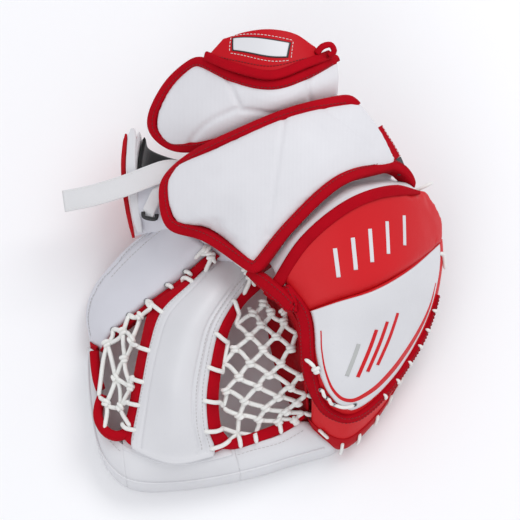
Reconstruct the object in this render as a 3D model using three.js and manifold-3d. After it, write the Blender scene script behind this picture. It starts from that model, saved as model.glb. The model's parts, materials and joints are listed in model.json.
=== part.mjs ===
// A goalkeeper's ice hockey catching glove, lying palm down: cuff, thumb, back of the hand,
// knuckle roll, fingers and the laced T pocket, each as separate sewn or laced pieces.
// Millimetres. +X towards the fingers, +Y towards the wrist, +Z out of the back of the hand.

import * as THREE from 'three';
import { mergeVertices } from 'three/addons/utils/BufferGeometryUtils.js';
import Module from 'manifold-3d';

const wasm = await Module();
wasm.setup();

// ---------------------------------------------------------------- driving dimensions

const SIZE = 1.12;              // senior size, against the size that the surfaces are drawn at
const GAP = 0.35;               // clearance between pieces that touch
const PAD_THICKNESS = 15;       // back of the hand
const WRIST_THICKNESS = 12;
const LINER_THICKNESS = 2.6;
const BINDING_PROUD = 1.6;      // how far a binding stands above the panel it edges
const LEATHER = 3;
const STEM_THICKNESS = 12;
const BAR_WALL = 12;            // wall of the L-shaped rim bar
const CUFF_LAYERS = [2.4, 3.2, 3.6]; // leather, board and lining, from the outside in
const LACE_RADIUS = 2.4;        // of the pocket's nets
const STITCH_LACE_RADIUS = 1.6; // of the lace round the edges
const STRAP_WIDTH = 22;
const STRAP_THICKNESS = 2.2;
const HOOK_THICKNESS = 1.5;     // patch under the strap's end
const LABEL_THICKNESS = 1.6;
const TAB_THICKNESS = 5;        // red tab above the wrist
const HEEL_FOAM = 6;

// Layers of the thumb and of the fingers, as shares of the way from the palm side to the back.
const THUMB_LAYERS = { palm: [0, 0.17], core: [0.2, 0.835], shell: [0.86, 1], binding: [0.1, 1.05] };
const FINGER_LAYERS = {
  palm: [0, 0.16], foam: [0.7, 0.795], shell: [0.825, 0.92], plate: [0.98, 1.05],
  roll: [0.7, 1], binding: [0.6, 1.04], rim: [0, 1.03],
};
const PLATE_LENGTH = [0.26, 0.76];

// The line that the glove breaks along, under the knuckles.
const BREAK_START = [2, -2, 80];
const BREAK_END = [124, 100, 90];
const CLOSING_ANGLE = 44;       // degrees that the fingers close through

// Surfaces, each a grid of points: rows run from the wrist down, columns from thumb to fingers.
const BACK_PAD = [
  [[-74, 80, 116], [-30, 91, 148], [25, 110, 162], [78, 130, 146]],
  [[-86, 55, 116], [-26, 72, 157], [33, 95, 169], [91, 117, 140]],
  [[-78, 21, 114], [-15, 52, 161], [43, 80, 171], [101, 104, 132]],
  [[-42, 8, 122], [2, 33, 159], [54, 64, 168], [109, 91, 125]],
  [[-3, -16, 130], [23, 13, 152], [65, 48, 160], [116, 77, 118]],
];
const WRIST_PAD = [
  [[-55, 168, 146], [-24, 143, 162], [10, 132, 170], [42, 145, 166], [67, 167, 148]],
  [[-84, 147, 122], [-34, 126, 152], [10, 116, 164], [44, 129, 160], [71, 150, 144]],
  [[-98, 118, 102], [-41, 104, 140], [8, 107, 152], [42, 120, 150], [71, 140, 138]],
  [[-81, 91, 94], [-39, 88, 124], [9, 100, 138], [44, 115, 138], [70, 132, 126]],
];
const WRIST_TAB = [
  [[-32, 171, 167], [-13, 175, 174], [8, 176, 178], [30, 173, 175], [47, 165, 165]],
  [[-41, 163, 161], [-17, 159, 171], [8, 155, 177], [34, 157, 173], [54, 160, 161]],
  [[-45, 159, 156], [-22, 144, 168], [10, 134, 175], [40, 147, 171], [60, 161, 157]],
];
const KNUCKLE_LINE = [[2, -9, 104], [25, 13, 128], [63, 46, 136], [93, 60, 118], [117, 73, 87]];
const FINGER_BACK = [
  [[13, -36, 118], [39, -6, 144], [75, 19, 157], [111, 39, 141], [144, 53, 102]],
  [[32, -58, 112], [63, -51, 126], [96, -41, 129], [127, -17, 110], [157, 20, 72]],
  [[36, -86, 98], [66, -87, 107], [97, -76, 105], [126, -56, 88], [154, -19, 58]],
  [[39, -111, 76], [62, -120, 80], [85, -118, 76], [111, -97, 68], [142, -58, 46]],
  [[41, -132, 34], [55, -145, 28], [75, -150, 26], [102, -125, 28], [126, -87, 34]],
];
const FINGER_PALM = [
  [[14, -28, 74], [42, -4, 84], [79, 22, 86], [112, 42, 78], [138, 54, 72]],
  [[31, -54, 60], [62, -46, 72], [95, -34, 74], [127, -12, 66], [153, 20, 52]],
  [[38, -84, 46], [66, -86, 54], [97, -75, 54], [126, -54, 48], [151, -18, 38]],
  [[42, -109, 30], [62, -117, 34], [84, -114, 34], [109, -95, 32], [139, -57, 28]],
  [[45, -129, 6], [56, -140, 4], [74, -145, 4], [100, -121, 4], [123, -86, 8]],
];
const THUMB_BACK = [
  [[-89, 40, 70], [-68, 31, 88], [-52, 18, 95], [-40, 9, 94]],
  [[-113, 32, 44], [-90, 17, 72], [-70, 4, 85], [-56, -2, 85]],
  [[-134, 15, 28], [-114, 0, 55], [-94, -14, 71], [-79, -22, 76]],
  [[-150, -5, 18], [-134, -19, 43], [-116, -31, 58], [-101, -38, 66]],
  [[-155, -28, 16], [-145, -39, 34], [-133, -49, 46], [-121, -55, 54]],
  [[-150, -55, 20], [-146, -60, 27], [-141, -64, 34], [-136, -67, 40]],
];
const THUMB_PALM = [
  [[-84, 36, 46], [-66, 26, 58], [-52, 16, 64], [-43, 9, 66]],
  [[-106, 28, 20], [-88, 14, 38], [-72, 3, 48], [-60, -2, 52]],
  [[-127, 12, 8], [-112, -2, 24], [-95, -14, 36], [-82, -22, 44]],
  [[-143, -6, 2], [-131, -18, 16], [-116, -29, 28], [-103, -37, 38]],
  [[-149, -27, 2], [-142, -37, 11], [-132, -46, 21], [-122, -53, 29]],
  [[-146, -53, 6], [-143, -58, 12], [-139, -62, 18], [-135, -65, 24]],
];
const STEM = [
  [[-48, -3, 76], [-41, -1, 82], [-21, -3, 90], [-5, -15, 88], [5, -21, 82]],
  [[-69, -21, 80], [-60, -23, 88], [-41, -34, 102], [-22, -38, 92], [-14, -41, 84]],
  [[-93, -38, 74], [-83, -46, 84], [-59, -62, 106], [-36, -64, 94], [-26, -64, 84]],
  [[-102, -68, 68], [-93, -75, 80], [-67, -89, 102], [-43, -92, 88], [-32, -91, 78]],
  [[-108, -96, 60], [-99, -103, 71], [-73, -115, 91], [-47, -119, 78], [-35, -118, 68]],
  [[-112, -120, 50], [-104, -126, 58], [-75, -141, 70], [-46, -143, 62], [-33, -139, 54]],
  [[-117, -137, 42], [-109, -148, 46], [-75, -162, 50], [-41, -156, 48], [-27, -148, 44]],
];
// The rim bar of the pocket, from the thumb to the fingers: inner edge, seam and outer edge.
const BAR = [
  [[-137, -71, 38], [-132, -98, 33], [-128, -124, 35], [-120, -139, 38], [-109, -150, 42],
    [-75, -164, 46], [-40, -158, 44], [-9, -146, 42], [12, -138, 40], [33, -129, 38]],
  [[-143, -67, 34], [-140, -100, 33], [-135, -132, 35], [-125, -147, 38], [-111, -158, 42],
    [-75, -169, 46], [-39, -164, 44], [-7, -154, 43], [16, -147, 41], [37, -133, 38]],
  [[-151, -60, 22], [-148, -105, 24], [-140, -149, 25], [-126, -173, 27], [-106, -184, 28],
    [-73, -184, 28], [-36, -179, 28], [-1, -171, 28], [28, -162, 28], [60, -153, 27]],
];
const CUFF = [
  [[-110, 118, 86], [-106, 118, 44], [-78, 118, 12], [-40, 118, 0], [2, 118, 0], [45, 118, 0],
    [78, 118, 20], [94, 120, 90]],
  [[-114, 90, 84], [-109, 90, 42], [-80, 90, 10], [-40, 90, 0], [2, 90, 0], [45, 92, 0],
    [82, 102, 20], [100, 110, 92]],
  [[-113, 58, 76], [-107, 58, 36], [-79, 57, 8], [-40, 56, 0], [2, 58, 0], [45, 68, 0],
    [84, 88, 20], [104, 102, 90]],
  [[-108, 44, 60], [-102, 42, 30], [-76, 30, 6], [-40, 27, 0], [0, 31, 0], [42, 50, 2],
    [79, 76, 22], [104, 94, 84]],
];
const HEEL = [
  [[-70, 22, 14], [-36, 20, 8], [0, 23, 8], [38, 43, 12], [68, 66, 26]],
  [[-58, 10, 36], [-30, 6, 32], [0, 10, 34], [36, 34, 40], [66, 59, 52]],
  [[-42, -2, 50], [-20, -8, 50], [4, 2, 54], [36, 30, 60], [64, 54, 66]],
];
const SIDE_WALL = [
  [[68, 133, 122], [74, 131, 104], [78, 127, 80]],
  [[88, 115, 118], [86, 114, 102], [82, 112, 80]],
  [[97, 100, 110], [91, 100, 98], [83, 100, 80]],
];
const THUMB_SIDE_WALL = [
  [[-76, 82, 93], [-87, 83, 85], [-97, 84, 74]],
  [[-83, 58, 93], [-91, 60, 80], [-97, 61, 66]],
  [[-83, 42, 94], [-90, 45, 79], [-95, 48, 62]],
];
const SIDE_TAB = [
  [[101, 117, 124], [106, 114, 112]],
  [[113, 102, 119], [115, 100, 106]],
  [[123, 85, 112], [123, 83, 99]],
];
const NET_LEFT = [
  [[-100, -42, 62], [-97, -43, 68]],
  [[-118, -57, 50], [-102, -66, 64]],
  [[-130, -76, 40], [-107, -90, 58]],
  [[-128, -102, 35], [-111, -113, 48]],
  [[-124, -130, 38], [-117, -135, 42]],
];
const NET_RIGHT = [
  [[4, -25, 80], [11, -34, 82]],
  [[-12, -45, 82], [28, -57, 84]],
  [[-24, -68, 82], [33, -84, 78]],
  [[-30, -94, 76], [37, -106, 62]],
  [[-31, -120, 64], [38, -118, 48]],
  [[-18, -143, 45], [36, -127, 42]],
];

// ---------------------------------------------------------------- materials

const colours = {
  whiteKnit: [0xe9e8ec, 0.9],
  redBinding: [0xa90f20, 0.85],
  redLeather: [0xc8242e, 0.5],
  whiteLeather: [0xe4e4e8, 0.45],
  greyLeather: [0xd3d3da, 0.5],
  blackLining: [0x2b2b2c, 0.95],
  foam: [0xbfc0c4, 0.95],
  board: [0xeeeeee, 0.6],
  palmLeather: [0xdad8d6, 0.6],
  lace: [0xf2f1ea, 0.6],
  webbing: [0xe6e6e4, 0.85],
  blackPlastic: [0x17181a, 0.4],
};

function material(name) {
  const [color, roughness] = colours[name];
  return new THREE.MeshStandardMaterial({ name, color, roughness, metalness: 0 });
}

// ---------------------------------------------------------------- surfaces

const vector = (p) => new THREE.Vector3(...p).multiplyScalar(SIZE);
const smooth = (points) => new THREE.CatmullRomCurve3(points, false, 'catmullrom', 0.5);

// A smooth surface through a grid of points. u runs along each row, v from row to row.
class Surface {
  constructor(rows) {
    this.curves = rows.map((row) => smooth(row));
  }

  at(u, v) {
    const column = smooth(this.curves.map((curve) => curve.getPoint(u)));
    return column.getPoint(v);
  }

  normal(u, v) {
    const step = 0.01;
    const u0 = Math.min(Math.max(u, step), 1 - step);
    const v0 = Math.min(Math.max(v, step), 1 - step);
    const across = this.at(u0 + step, v0).sub(this.at(u0 - step, v0));
    const down = this.at(u0, v0 + step).sub(this.at(u0, v0 - step));
    return down.cross(across).normalize();
  }
}

const surfaceOf = (rows) => new Surface(rows.map((row) => row.map(vector)));

// Points at a height above a surface, measured along its normal.
function above(surface, sign = 1) {
  return (u, v, height) => surface.at(u, v).addScaledVector(surface.normal(u, v), sign * height);
}

// Points between two surfaces: 0 is on the lower one and 1 on the upper one.
function between(lower, upper) {
  return (u, v, share) => lower.at(u, v).lerp(upper.at(u, v), share);
}

// ---------------------------------------------------------------- solids

function solidGeometry(points, faces) {
  const geometry = new THREE.BufferGeometry();
  const numbers = points.flatMap((point) => point.toArray());
  const outward = volumeOf(points, faces) < 0 ? faces.map(([a, b, c]) => [a, c, b]) : faces;
  geometry.setAttribute('position', new THREE.Float32BufferAttribute(numbers, 3));
  geometry.setIndex(outward.flat());
  return geometry;
}

function volumeOf(points, faces) {
  const cross = new THREE.Vector3();
  const wedge = ([a, b, c]) => points[a].dot(cross.crossVectors(points[b], points[c])) / 6;
  return faces.reduce((sum, face) => sum + wedge(face), 0);
}

// Two triangles for each cell of a grid of point numbers, joined end to end where it wraps.
function gridFaces(index, columns, rows) {
  const faces = [];
  for (let j = 0; j < rows; j += 1) {
    for (let i = 0; i < columns; i += 1) {
      const [a, b, c, d] = [index(i, j), index(i + 1, j), index(i + 1, j + 1), index(i, j + 1)];
      faces.push([a, b, c], [a, c, d]);
    }
  }
  return faces;
}

// A sheet of even or shaped outline, from one height to another over a surface.
function panel(place, { u = [0, 1], v = [0, 1], low, high, columns, rows }) {
  const points = [];
  const range = typeof u === 'function' ? u : () => u;
  for (const height of [low, high]) {
    for (let j = 0; j <= rows; j += 1) {
      const across = THREE.MathUtils.lerp(v[0], v[1], j / rows);
      const [start, end] = range(across);
      for (let i = 0; i <= columns; i += 1) {
        points.push(place(THREE.MathUtils.lerp(start, end, i / columns), across, height));
      }
    }
  }
  const layer = (columns + 1) * (rows + 1);
  const number = (i, j, side) => side * layer + j * (columns + 1) + i;
  const rim = [];
  for (let i = 0; i < columns; i += 1) rim.push([i, 0]);
  for (let j = 0; j < rows; j += 1) rim.push([columns, j]);
  for (let i = columns; i > 0; i -= 1) rim.push([i, rows]);
  for (let j = rows; j > 0; j -= 1) rim.push([0, j]);
  const wall = (k, side) => number(...rim[k % rim.length], side);
  const faces = [
    ...gridFaces((i, j) => number(i, j, 1), columns, rows),
    ...gridFaces((i, j) => number(columns - i, j, 0), columns, rows),
    ...gridFaces((k, side) => wall(k, 1 - side), rim.length, 1).map(([a, b, c]) => [a, c, b]),
  ];
  return solidGeometry(points, faces);
}

// A binding: a closed band round the edge of a four-sided surface, inset by a share of it.
function edgeBand(place, { inset, low, high, steps }) {
  const [insetU, insetV] = inset;
  const outer = perimeter([0, 1], [0, 1], steps);
  const inner = perimeter([insetU, 1 - insetU], [insetV, 1 - insetV], steps);
  const points = outer.flatMap((edge, k) => [
    place(...edge, low), place(...edge, high), place(...inner[k], high), place(...inner[k], low),
  ]);
  const faces = gridFaces((i, j) => (i % outer.length) * 4 + (j % 4), outer.length, 4);
  return solidGeometry(points, faces);
}

function perimeter(u, v, steps) {
  const corners = [[u[0], v[0]], [u[1], v[0]], [u[1], v[1]], [u[0], v[1]]];
  return corners.flatMap((corner, side) => {
    const next = corners[(side + 1) % 4];
    return Array.from({ length: steps }, (_, k) => [
      THREE.MathUtils.lerp(corner[0], next[0], k / steps),
      THREE.MathUtils.lerp(corner[1], next[1], k / steps),
    ]);
  });
}

// A bar whose section is a list of points at each station; section point `hub` sees all the others.
function sectionBar(sections, hub = 0) {
  const sides = sections[0].length;
  const last = sections.length - 1;
  const number = (i, j) => j * sides + (i % sides);
  const faces = gridFaces(number, sides, last);
  for (let k = 1; k < sides - 1; k += 1) {
    const [a, b, c] = [hub, (hub + k) % sides, (hub + k + 1) % sides];
    faces.push([number(a, 0), number(c, 0), number(b, 0)]);
    faces.push([number(a, last), number(b, last), number(c, last)]);
  }
  return solidGeometry(sections.flat(), faces);
}

function tube(points, radius, sides = 4, steps = points.length * 2) {
  const section = new THREE.Shape();
  for (let k = 0; k < sides; k += 1) {
    const angle = (2 * Math.PI * k) / sides;
    const [x, y] = [radius * Math.cos(angle), radius * Math.sin(angle)];
    if (k === 0) section.moveTo(x, y);
    else section.lineTo(x, y);
  }
  return new THREE.ExtrudeGeometry(section, { steps, extrudePath: smooth(points), bevelEnabled: false });
}

// ---------------------------------------------------------------- joining

function toManifold(geometry) {
  const plain = geometry.clone();
  plain.deleteAttribute('normal');
  plain.deleteAttribute('uv');
  const merged = mergeVertices(plain, 1e-4);
  return new wasm.Manifold(new wasm.Mesh({
    numProp: 3,
    vertProperties: new Float32Array(merged.attributes.position.array),
    triVerts: new Uint32Array(merged.index.array),
  }));
}

function fromManifold(solid) {
  const mesh = solid.getMesh();
  const positions = new Float32Array(mesh.vertProperties);
  const geometry = new THREE.BufferGeometry();
  geometry.setAttribute('position', new THREE.BufferAttribute(positions, 3));
  geometry.setIndex(new THREE.BufferAttribute(new Uint32Array(mesh.triVerts), 1));
  return geometry;
}

function joined(geometries) {
  return fromManifold(geometries.map(toManifold).reduce((sum, solid) => sum.add(solid)));
}

// ---------------------------------------------------------------- assembling

const glove = new THREE.Group();

function add(name, geometry, colour) {
  const mesh = new THREE.Mesh(geometry, material(colour));
  mesh.name = name;
  glove.add(mesh);
}

// ---------------------------------------------------------------- back of the hand

function addBackPad() {
  const place = above(surfaceOf(BACK_PAD));
  const inset = 0.055;
  const inside = [inset + 0.005, 1 - inset - 0.005];
  const length = [inset + 0.01, 1 - inset - 0.014];
  const body = { u: inside, v: length, columns: 12, rows: 12 };
  add('back_pad', panel(place, { ...body, low: -PAD_THICKNESS, high: 0 }), 'whiteKnit');
  add('back_pad_binding', edgeBand(place, {
    inset: [inset, inset], low: -PAD_THICKNESS - BINDING_PROUD, high: BINDING_PROUD, steps: 12,
  }), 'redBinding');
  add('hand_liner', panel(place, {
    ...body, v: [0.08, 0.78], columns: 8, rows: 7,
    low: -PAD_THICKNESS - 2 * GAP - LINER_THICKNESS, high: -PAD_THICKNESS - 2 * GAP,
  }), 'blackLining');
}

function addSideWalls() {
  const grid = { columns: 4, rows: 4 };
  const fingerSide = above(surfaceOf(SIDE_WALL));
  add('side_gusset', panel(fingerSide, { ...grid, low: -LEATHER, high: 0 }), 'whiteKnit');
  const thumbSide = above(surfaceOf(THUMB_SIDE_WALL));
  add('thumb_side_gusset', panel(thumbSide, { ...grid, low: 0, high: LEATHER }), 'greyLeather');
}

// ---------------------------------------------------------------- wrist

function addWristPad() {
  const place = above(surfaceOf(WRIST_PAD));
  const inset = 0.05;
  const inside = [inset + 0.007, 1 - inset - 0.007];
  const body = { u: inside, v: inside, low: -WRIST_THICKNESS, high: 0, columns: 10, rows: 10 };
  add('wrist_pad', panel(place, body), 'whiteKnit');
  add('wrist_pad_binding', edgeBand(place, {
    inset: [inset, inset], low: -WRIST_THICKNESS - BINDING_PROUD, high: BINDING_PROUD, steps: 10,
  }), 'redBinding');
}

function addWristTab() {
  const place = above(surfaceOf(WRIST_TAB));
  add('wrist_tab', panel(place, { low: -TAB_THICKNESS, high: 0, columns: 10, rows: 5 }), 'redLeather');
  add('label_plate', panel(place, {
    u: [0.26, 0.74], v: [0.12, 0.62], low: GAP, high: GAP + LABEL_THICKNESS, columns: 6, rows: 3,
  }), 'whiteLeather');
}

// ---------------------------------------------------------------- cuff and heel of the palm

function addCuff() {
  const place = above(surfaceOf(CUFF));
  const names = ['cuff_outer', 'cuff_board', 'cuff_lining'];
  const slots = ['redLeather', 'board', 'blackLining'];
  const setBack = [0.02, 0, 0.03];
  let depth = 0;
  CUFF_LAYERS.forEach((thickness, layer) => {
    const start = depth;
    const inner = (u, v, height) => cuffPoint(place, u, v, height);
    add(names[layer], panel(inner, {
      u: [setBack[layer], 1 - setBack[layer]], v: [0.5 * setBack[layer], 1],
      low: start, high: start + thickness, columns: 20, rows: 5,
    }), slots[layer]);
    depth += thickness + 3 * GAP;
  });
}

// The cuff's floor is flat, so that the glove rests on it, and its layers stack from there.
function cuffPoint(place, u, v, height) {
  const point = place(u, v, height);
  point.z = Math.max(point.z, height);
  return point;
}

function addHeel() {
  const place = above(surfaceOf(HEEL));
  add('palm_heel', panel(place, { low: -LEATHER, high: 0, columns: 9, rows: 6 }), 'palmLeather');
  add('palm_foam', panel(place, {
    u: [0.04, 0.96], v: [0.05, 0.95], low: 3 * GAP, high: 3 * GAP + HEEL_FOAM, columns: 9, rows: 6,
  }), 'foam');
}

// ---------------------------------------------------------------- thumb

function addThumb() {
  const place = between(surfaceOf(THUMB_PALM), surfaceOf(THUMB_BACK));
  const layer = ([low, high], outline) => panel(place, { low, high, columns: 8, rows: 12, ...outline });
  const face = { u: [0, 0.92] };
  add('thumb_shell', layer(THUMB_LAYERS.shell, face), 'greyLeather');
  add('thumb_core', layer(THUMB_LAYERS.core, face), 'foam');
  add('thumb_palm', layer(THUMB_LAYERS.palm, face), 'palmLeather');
  const edge = { u: [0.93, 1], v: [0.03, 0.99], columns: 2 };
  add('thumb_binding', layer(THUMB_LAYERS.binding, edge), 'redBinding');
}

// ---------------------------------------------------------------- fingers

function breakTurn(degrees) {
  const start = vector(BREAK_START);
  const axis = vector(BREAK_END).sub(start).normalize();
  return (point) => point.clone().sub(start)
    .applyAxisAngle(axis, THREE.MathUtils.degToRad(degrees)).add(start);
}

// The gusset fills the gap that opens at the knuckles: the part under the back pad turns
// about the break line, so it slides clear of the pad as the fingers close.
function addKnuckleGusset() {
  const line = KNUCKLE_LINE.map(vector);
  const roll = FINGER_BACK[0].map(vector);
  const tucked = [-CLOSING_ANGLE, -CLOSING_ANGLE / 2].map((angle) => line.map(breakTurn(angle)));
  const showing = [0.45, 0.86].map((share) => line.map((p, k) => p.clone().lerp(roll[k], share)));
  const rows = [...tucked, line, ...showing];
  const place = above(new Surface(rows));
  add('knuckle_gusset', panel(place, {
    u: [0.03, 0.84], low: -2.4, high: 0, columns: 10, rows: 10,
  }), 'whiteLeather');
}

function addFinger() {
  const place = between(surfaceOf(FINGER_PALM), surfaceOf(FINGER_BACK));
  const layer = ([low, high], outline) => panel(place, { low, high, columns: 10, rows: 10, ...outline });
  const edge = 0.075;
  const rimStart = 0.905;
  const u = [edge + 0.006, 1];
  const rollEnd = 0.235;
  const belowRoll = [rollEnd + 0.01, rimStart - 0.008];
  const wholeLength = [0, rimStart - 0.008];
  const { roll, foam, shell, plate, palm, binding, rim } = FINGER_LAYERS;
  add('knuckle_roll', layer(roll, { u, v: [0, rollEnd], rows: 5 }), 'redLeather');
  add('finger_foam', layer(foam, { u, v: belowRoll }), 'foam');
  add('finger_shell', layer(shell, { u, v: belowRoll }), 'redLeather');
  add('finger_plate', layer(plate, { u: plateOutline, v: PLATE_LENGTH, rows: 9 }), 'whiteLeather');
  add('finger_palm', layer(palm, { u, v: wholeLength, columns: 9 }), 'palmLeather');
  add('finger_edge_binding', layer(binding, { u: [0, edge], v: wholeLength, columns: 2, rows: 14 }),
    'redBinding');
  add('finger_rim', layer(rim, { v: [rimStart, 1], columns: 18, rows: 2 }), 'redLeather');
}

// The plate narrows to a rounded tip above the fingertips.
function plateOutline(v) {
  const [start, end] = PLATE_LENGTH;
  const tip = (v - start) / (end - start);
  const narrowing = 1 - Math.sqrt(Math.max(1 - tip ** 2.6, 0.02));
  return [0.1 + 0.24 * narrowing, 0.975 - 0.5 * narrowing];
}

// ---------------------------------------------------------------- pocket

function addStem() {
  const place = above(surfaceOf(STEM));
  const strip = (u, low, high, columns) => panel(place, { u, v: [0, 0.975], low, high, columns, rows: 14 });
  const under = -LEATHER - 2 * GAP;
  add('stem', strip([0.235, 0.765], -LEATHER, 0, 8), 'whiteLeather');
  add('stem_core', strip([0.25, 0.75], -STEM_THICKNESS, under, 8), 'foam');
  add('stem_binding_left', strip([0, 0.225], -STEM_THICKNESS, BINDING_PROUD, 2), 'redBinding');
  add('stem_binding_right', strip([0.775, 1], -STEM_THICKNESS, BINDING_PROUD, 2), 'redBinding');
}

function addBar() {
  const surface = surfaceOf(BAR);
  const columns = BAR[0].length - 1;
  const lengths = { bar_left: [0, 3.6, 10], bar_center: [3.66, 6.5, 9], bar_right: [6.56, 9, 8] };
  Object.entries(lengths).forEach(([name, [from, to, steps]]) => {
    const stations = Array.from({ length: steps + 1 }, (_, k) => {
      return THREE.MathUtils.lerp(from, to, k / steps) / columns;
    });
    const bound = name !== 'bar_center';
    const sections = stations.map((u) => barSection(surface, u, bound));
    add(name, sectionBar(sections, BAR_HUB), 'whiteLeather');
    if (!bound) return;
    const bindings = stations.map((u) => bindingSection(surface, u));
    add(`${name}_binding`, sectionBar(bindings), 'redBinding');
  });
}

// An angle section: a sloping top and an outer wall that stands on the ground. Its inside corner,
// BAR_HUB, sees every other corner.
const BAR_HUB = 4;

function barSection(surface, u, bound) {
  const seam = surface.at(u, 0.5);
  const outer = surface.at(u, 1);
  const inward = seam.clone().sub(outer).setZ(0).normalize();
  const inner = bound ? seam.clone().addScaledVector(inward, -GAP) : surface.at(u, 0);
  const foot = outer.clone().setZ(0);
  const heel = foot.clone().addScaledVector(inward, BAR_WALL);
  const corner = heel.clone().setZ(outer.z - BAR_WALL);
  const under = inner.clone().setZ(inner.z - BAR_WALL);
  return [inner, outer, foot, heel, corner, under];
}

function bindingSection(surface, u) {
  const inner = surface.at(u, 0);
  const seam = surface.at(u, 0.5);
  const drop = (point) => point.clone().setZ(point.z - BAR_WALL);
  const rise = (point) => point.clone().setZ(point.z + BINDING_PROUD);
  return [rise(inner), rise(seam), drop(seam), drop(inner)];
}

// A laced net: strands between the knots of a staggered grid.
function netGeometry(rows, across, down) {
  const surface = surfaceOf(rows);
  const knot = (i, j) => surface.at(i / across, (j + 0.15) / (down + 0.3));
  const pieces = [];
  for (let j = 0; j <= down; j += 1) {
    for (let i = j % 2; i <= across; i += 2) {
      const here = knot(i, j);
      [i - 1, i + 1].forEach((next) => {
        if (j === down || next < 0 || next > across) return;
        pieces.push(strand(here, knot(next, j + 1)));
      });
    }
  }
  return joined(pieces);
}

function strand(start, end) {
  const length = start.distanceTo(end);
  const turn = new THREE.Quaternion().setFromUnitVectors(
    new THREE.Vector3(0, 1, 0), end.clone().sub(start).normalize());
  const middle = start.clone().lerp(end, 0.5);
  return new THREE.CylinderGeometry(LACE_RADIUS, LACE_RADIUS, length, 4)
    .applyQuaternion(turn).translate(...middle.toArray());
}

// ---------------------------------------------------------------- lacing

// A lace that runs along a line from side to side of it. The line gives (u, v) at a share of the
// way, for a side of -1 or 1.
function zigzag(place, turns, line, height) {
  return Array.from({ length: turns + 1 }, (_, k) => place(...line(k / turns, k % 2 ? 1 : -1), height));
}

function addLacing() {
  const thumb = between(surfaceOf(THUMB_PALM), surfaceOf(THUMB_BACK));
  const finger = between(surfaceOf(FINGER_PALM), surfaceOf(FINGER_BACK));
  const lace = (points) => tube(points, STITCH_LACE_RADIUS);
  add('thumb_lace', lace(zigzag(thumb, 14, (t, side) => [0.9 + 0.02 * t + 0.05 * side, 0.08 + 0.84 * t],
    1.17)), 'lace');
  add('finger_lace', lace(zigzag(finger, 22, (t, side) => [0.1 + 0.86 * t, 0.95 - 0.02 * side],
    1.3)), 'lace');
  add('plate_lace', lace(zigzag(finger, 8, (t, side) => [0.2 + 0.3 * t, 0.8175 - 0.0175 * side],
    1.02)), 'lace');
}

// ---------------------------------------------------------------- straps and tabs

const STRAP_LINE = [[-82, 78, 97], [-100, 73, 95], [-118, 68, 93], [-145, 61, 90], [-170, 54, 86]];
const STRAP_SIDE = new THREE.Vector3(-0.264, 0.965, 0);

// A flat band along a stretch of the strap's line, between two heights over it.
function band([from, to, steps], low, high, width) {
  const line = smooth(STRAP_LINE.map(vector));
  const corners = [[-1, low], [1, low], [1, high], [-1, high]];
  return sectionBar(Array.from({ length: steps + 1 }, (_, k) => {
    const point = line.getPoint(THREE.MathUtils.lerp(from, to, k / steps));
    return corners.map(([half, height]) => {
      return point.clone().addScaledVector(STRAP_SIDE, (half * width) / 2).setZ(point.z + height);
    });
  }));
}

function addStrap() {
  const half = STRAP_THICKNESS / 2;
  add('strap', band([0, 1, 10], -half, half, STRAP_WIDTH), 'webbing');
  const top = -half - GAP;
  add('strap_hook_patch', band([0.62, 0.97, 4], top - HOOK_THICKNESS, top, STRAP_WIDTH - 3), 'blackPlastic');
}

// A rectangular loop lying along the thumb side: width, height, wall and depth, and its middle.
function rectangularLoop(width, height, wall, depth, centre) {
  const corners = (x, y) => [[-x, -y], [x, -y], [x, y], [-x, y]].map((p) => new THREE.Vector2(...p));
  const outline = new THREE.Shape(corners(width / 2, height / 2));
  outline.holes.push(new THREE.Path(corners(width / 2 - wall, height / 2 - wall).reverse()));
  return new THREE.ExtrudeGeometry(outline, { depth, bevelEnabled: false })
    .translate(0, 0, -depth / 2)
    .rotateX(Math.PI / 2)
    .rotateZ(Math.PI / 2)
    .translate(...vector(centre).toArray());
}

function addKeeper() {
  add('keeper_loop', rectangularLoop(26, 9, 1.8, 8, [-93, 50.5, 90]), 'webbing');
  add('keeper_ring', rectangularLoop(13, 8, 2.2, 5, [-94, 31, 86]), 'blackPlastic');
}

function addSideTab() {
  const place = above(surfaceOf(SIDE_TAB));
  const red = { v: [0, 0.78], low: 0, high: LEATHER, columns: 2, rows: 6 };
  const end = { v: [0.795, 1], low: 0, high: LEATHER + 0.4, columns: 2, rows: 2 };
  add('side_tab', panel(place, red), 'redLeather');
  add('side_tab_end', panel(place, end), 'blackPlastic');
}

addBackPad();
addSideWalls();
addWristPad();
addWristTab();
addCuff();
addHeel();
addThumb();
addKnuckleGusset();
addFinger();
addStem();
addBar();
add('net_left', netGeometry(NET_LEFT, 2, 5), 'lace');
add('net_right', netGeometry(NET_RIGHT, 6, 7), 'lace');
addLacing();
addStrap();
addKeeper();
addSideTab();

// The origin is under the middle of the glove, on the surface it lies on.
const box = new THREE.Box3().setFromObject(glove);
const centre = box.getCenter(new THREE.Vector3());
glove.position.set(-centre.x, -centre.y, -box.min.z);
glove.updateMatrixWorld(true);

export default glove;
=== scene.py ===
"""A goalkeeper's catching glove, lying palm down: soft pads, leather shells, bindings and lacing
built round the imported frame. Metres, in the frame's own axes."""

import json
import math

import bmesh
import bpy
import numpy as np
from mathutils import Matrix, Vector, kdtree
from mathutils.bvhtree import BVHTree


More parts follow.
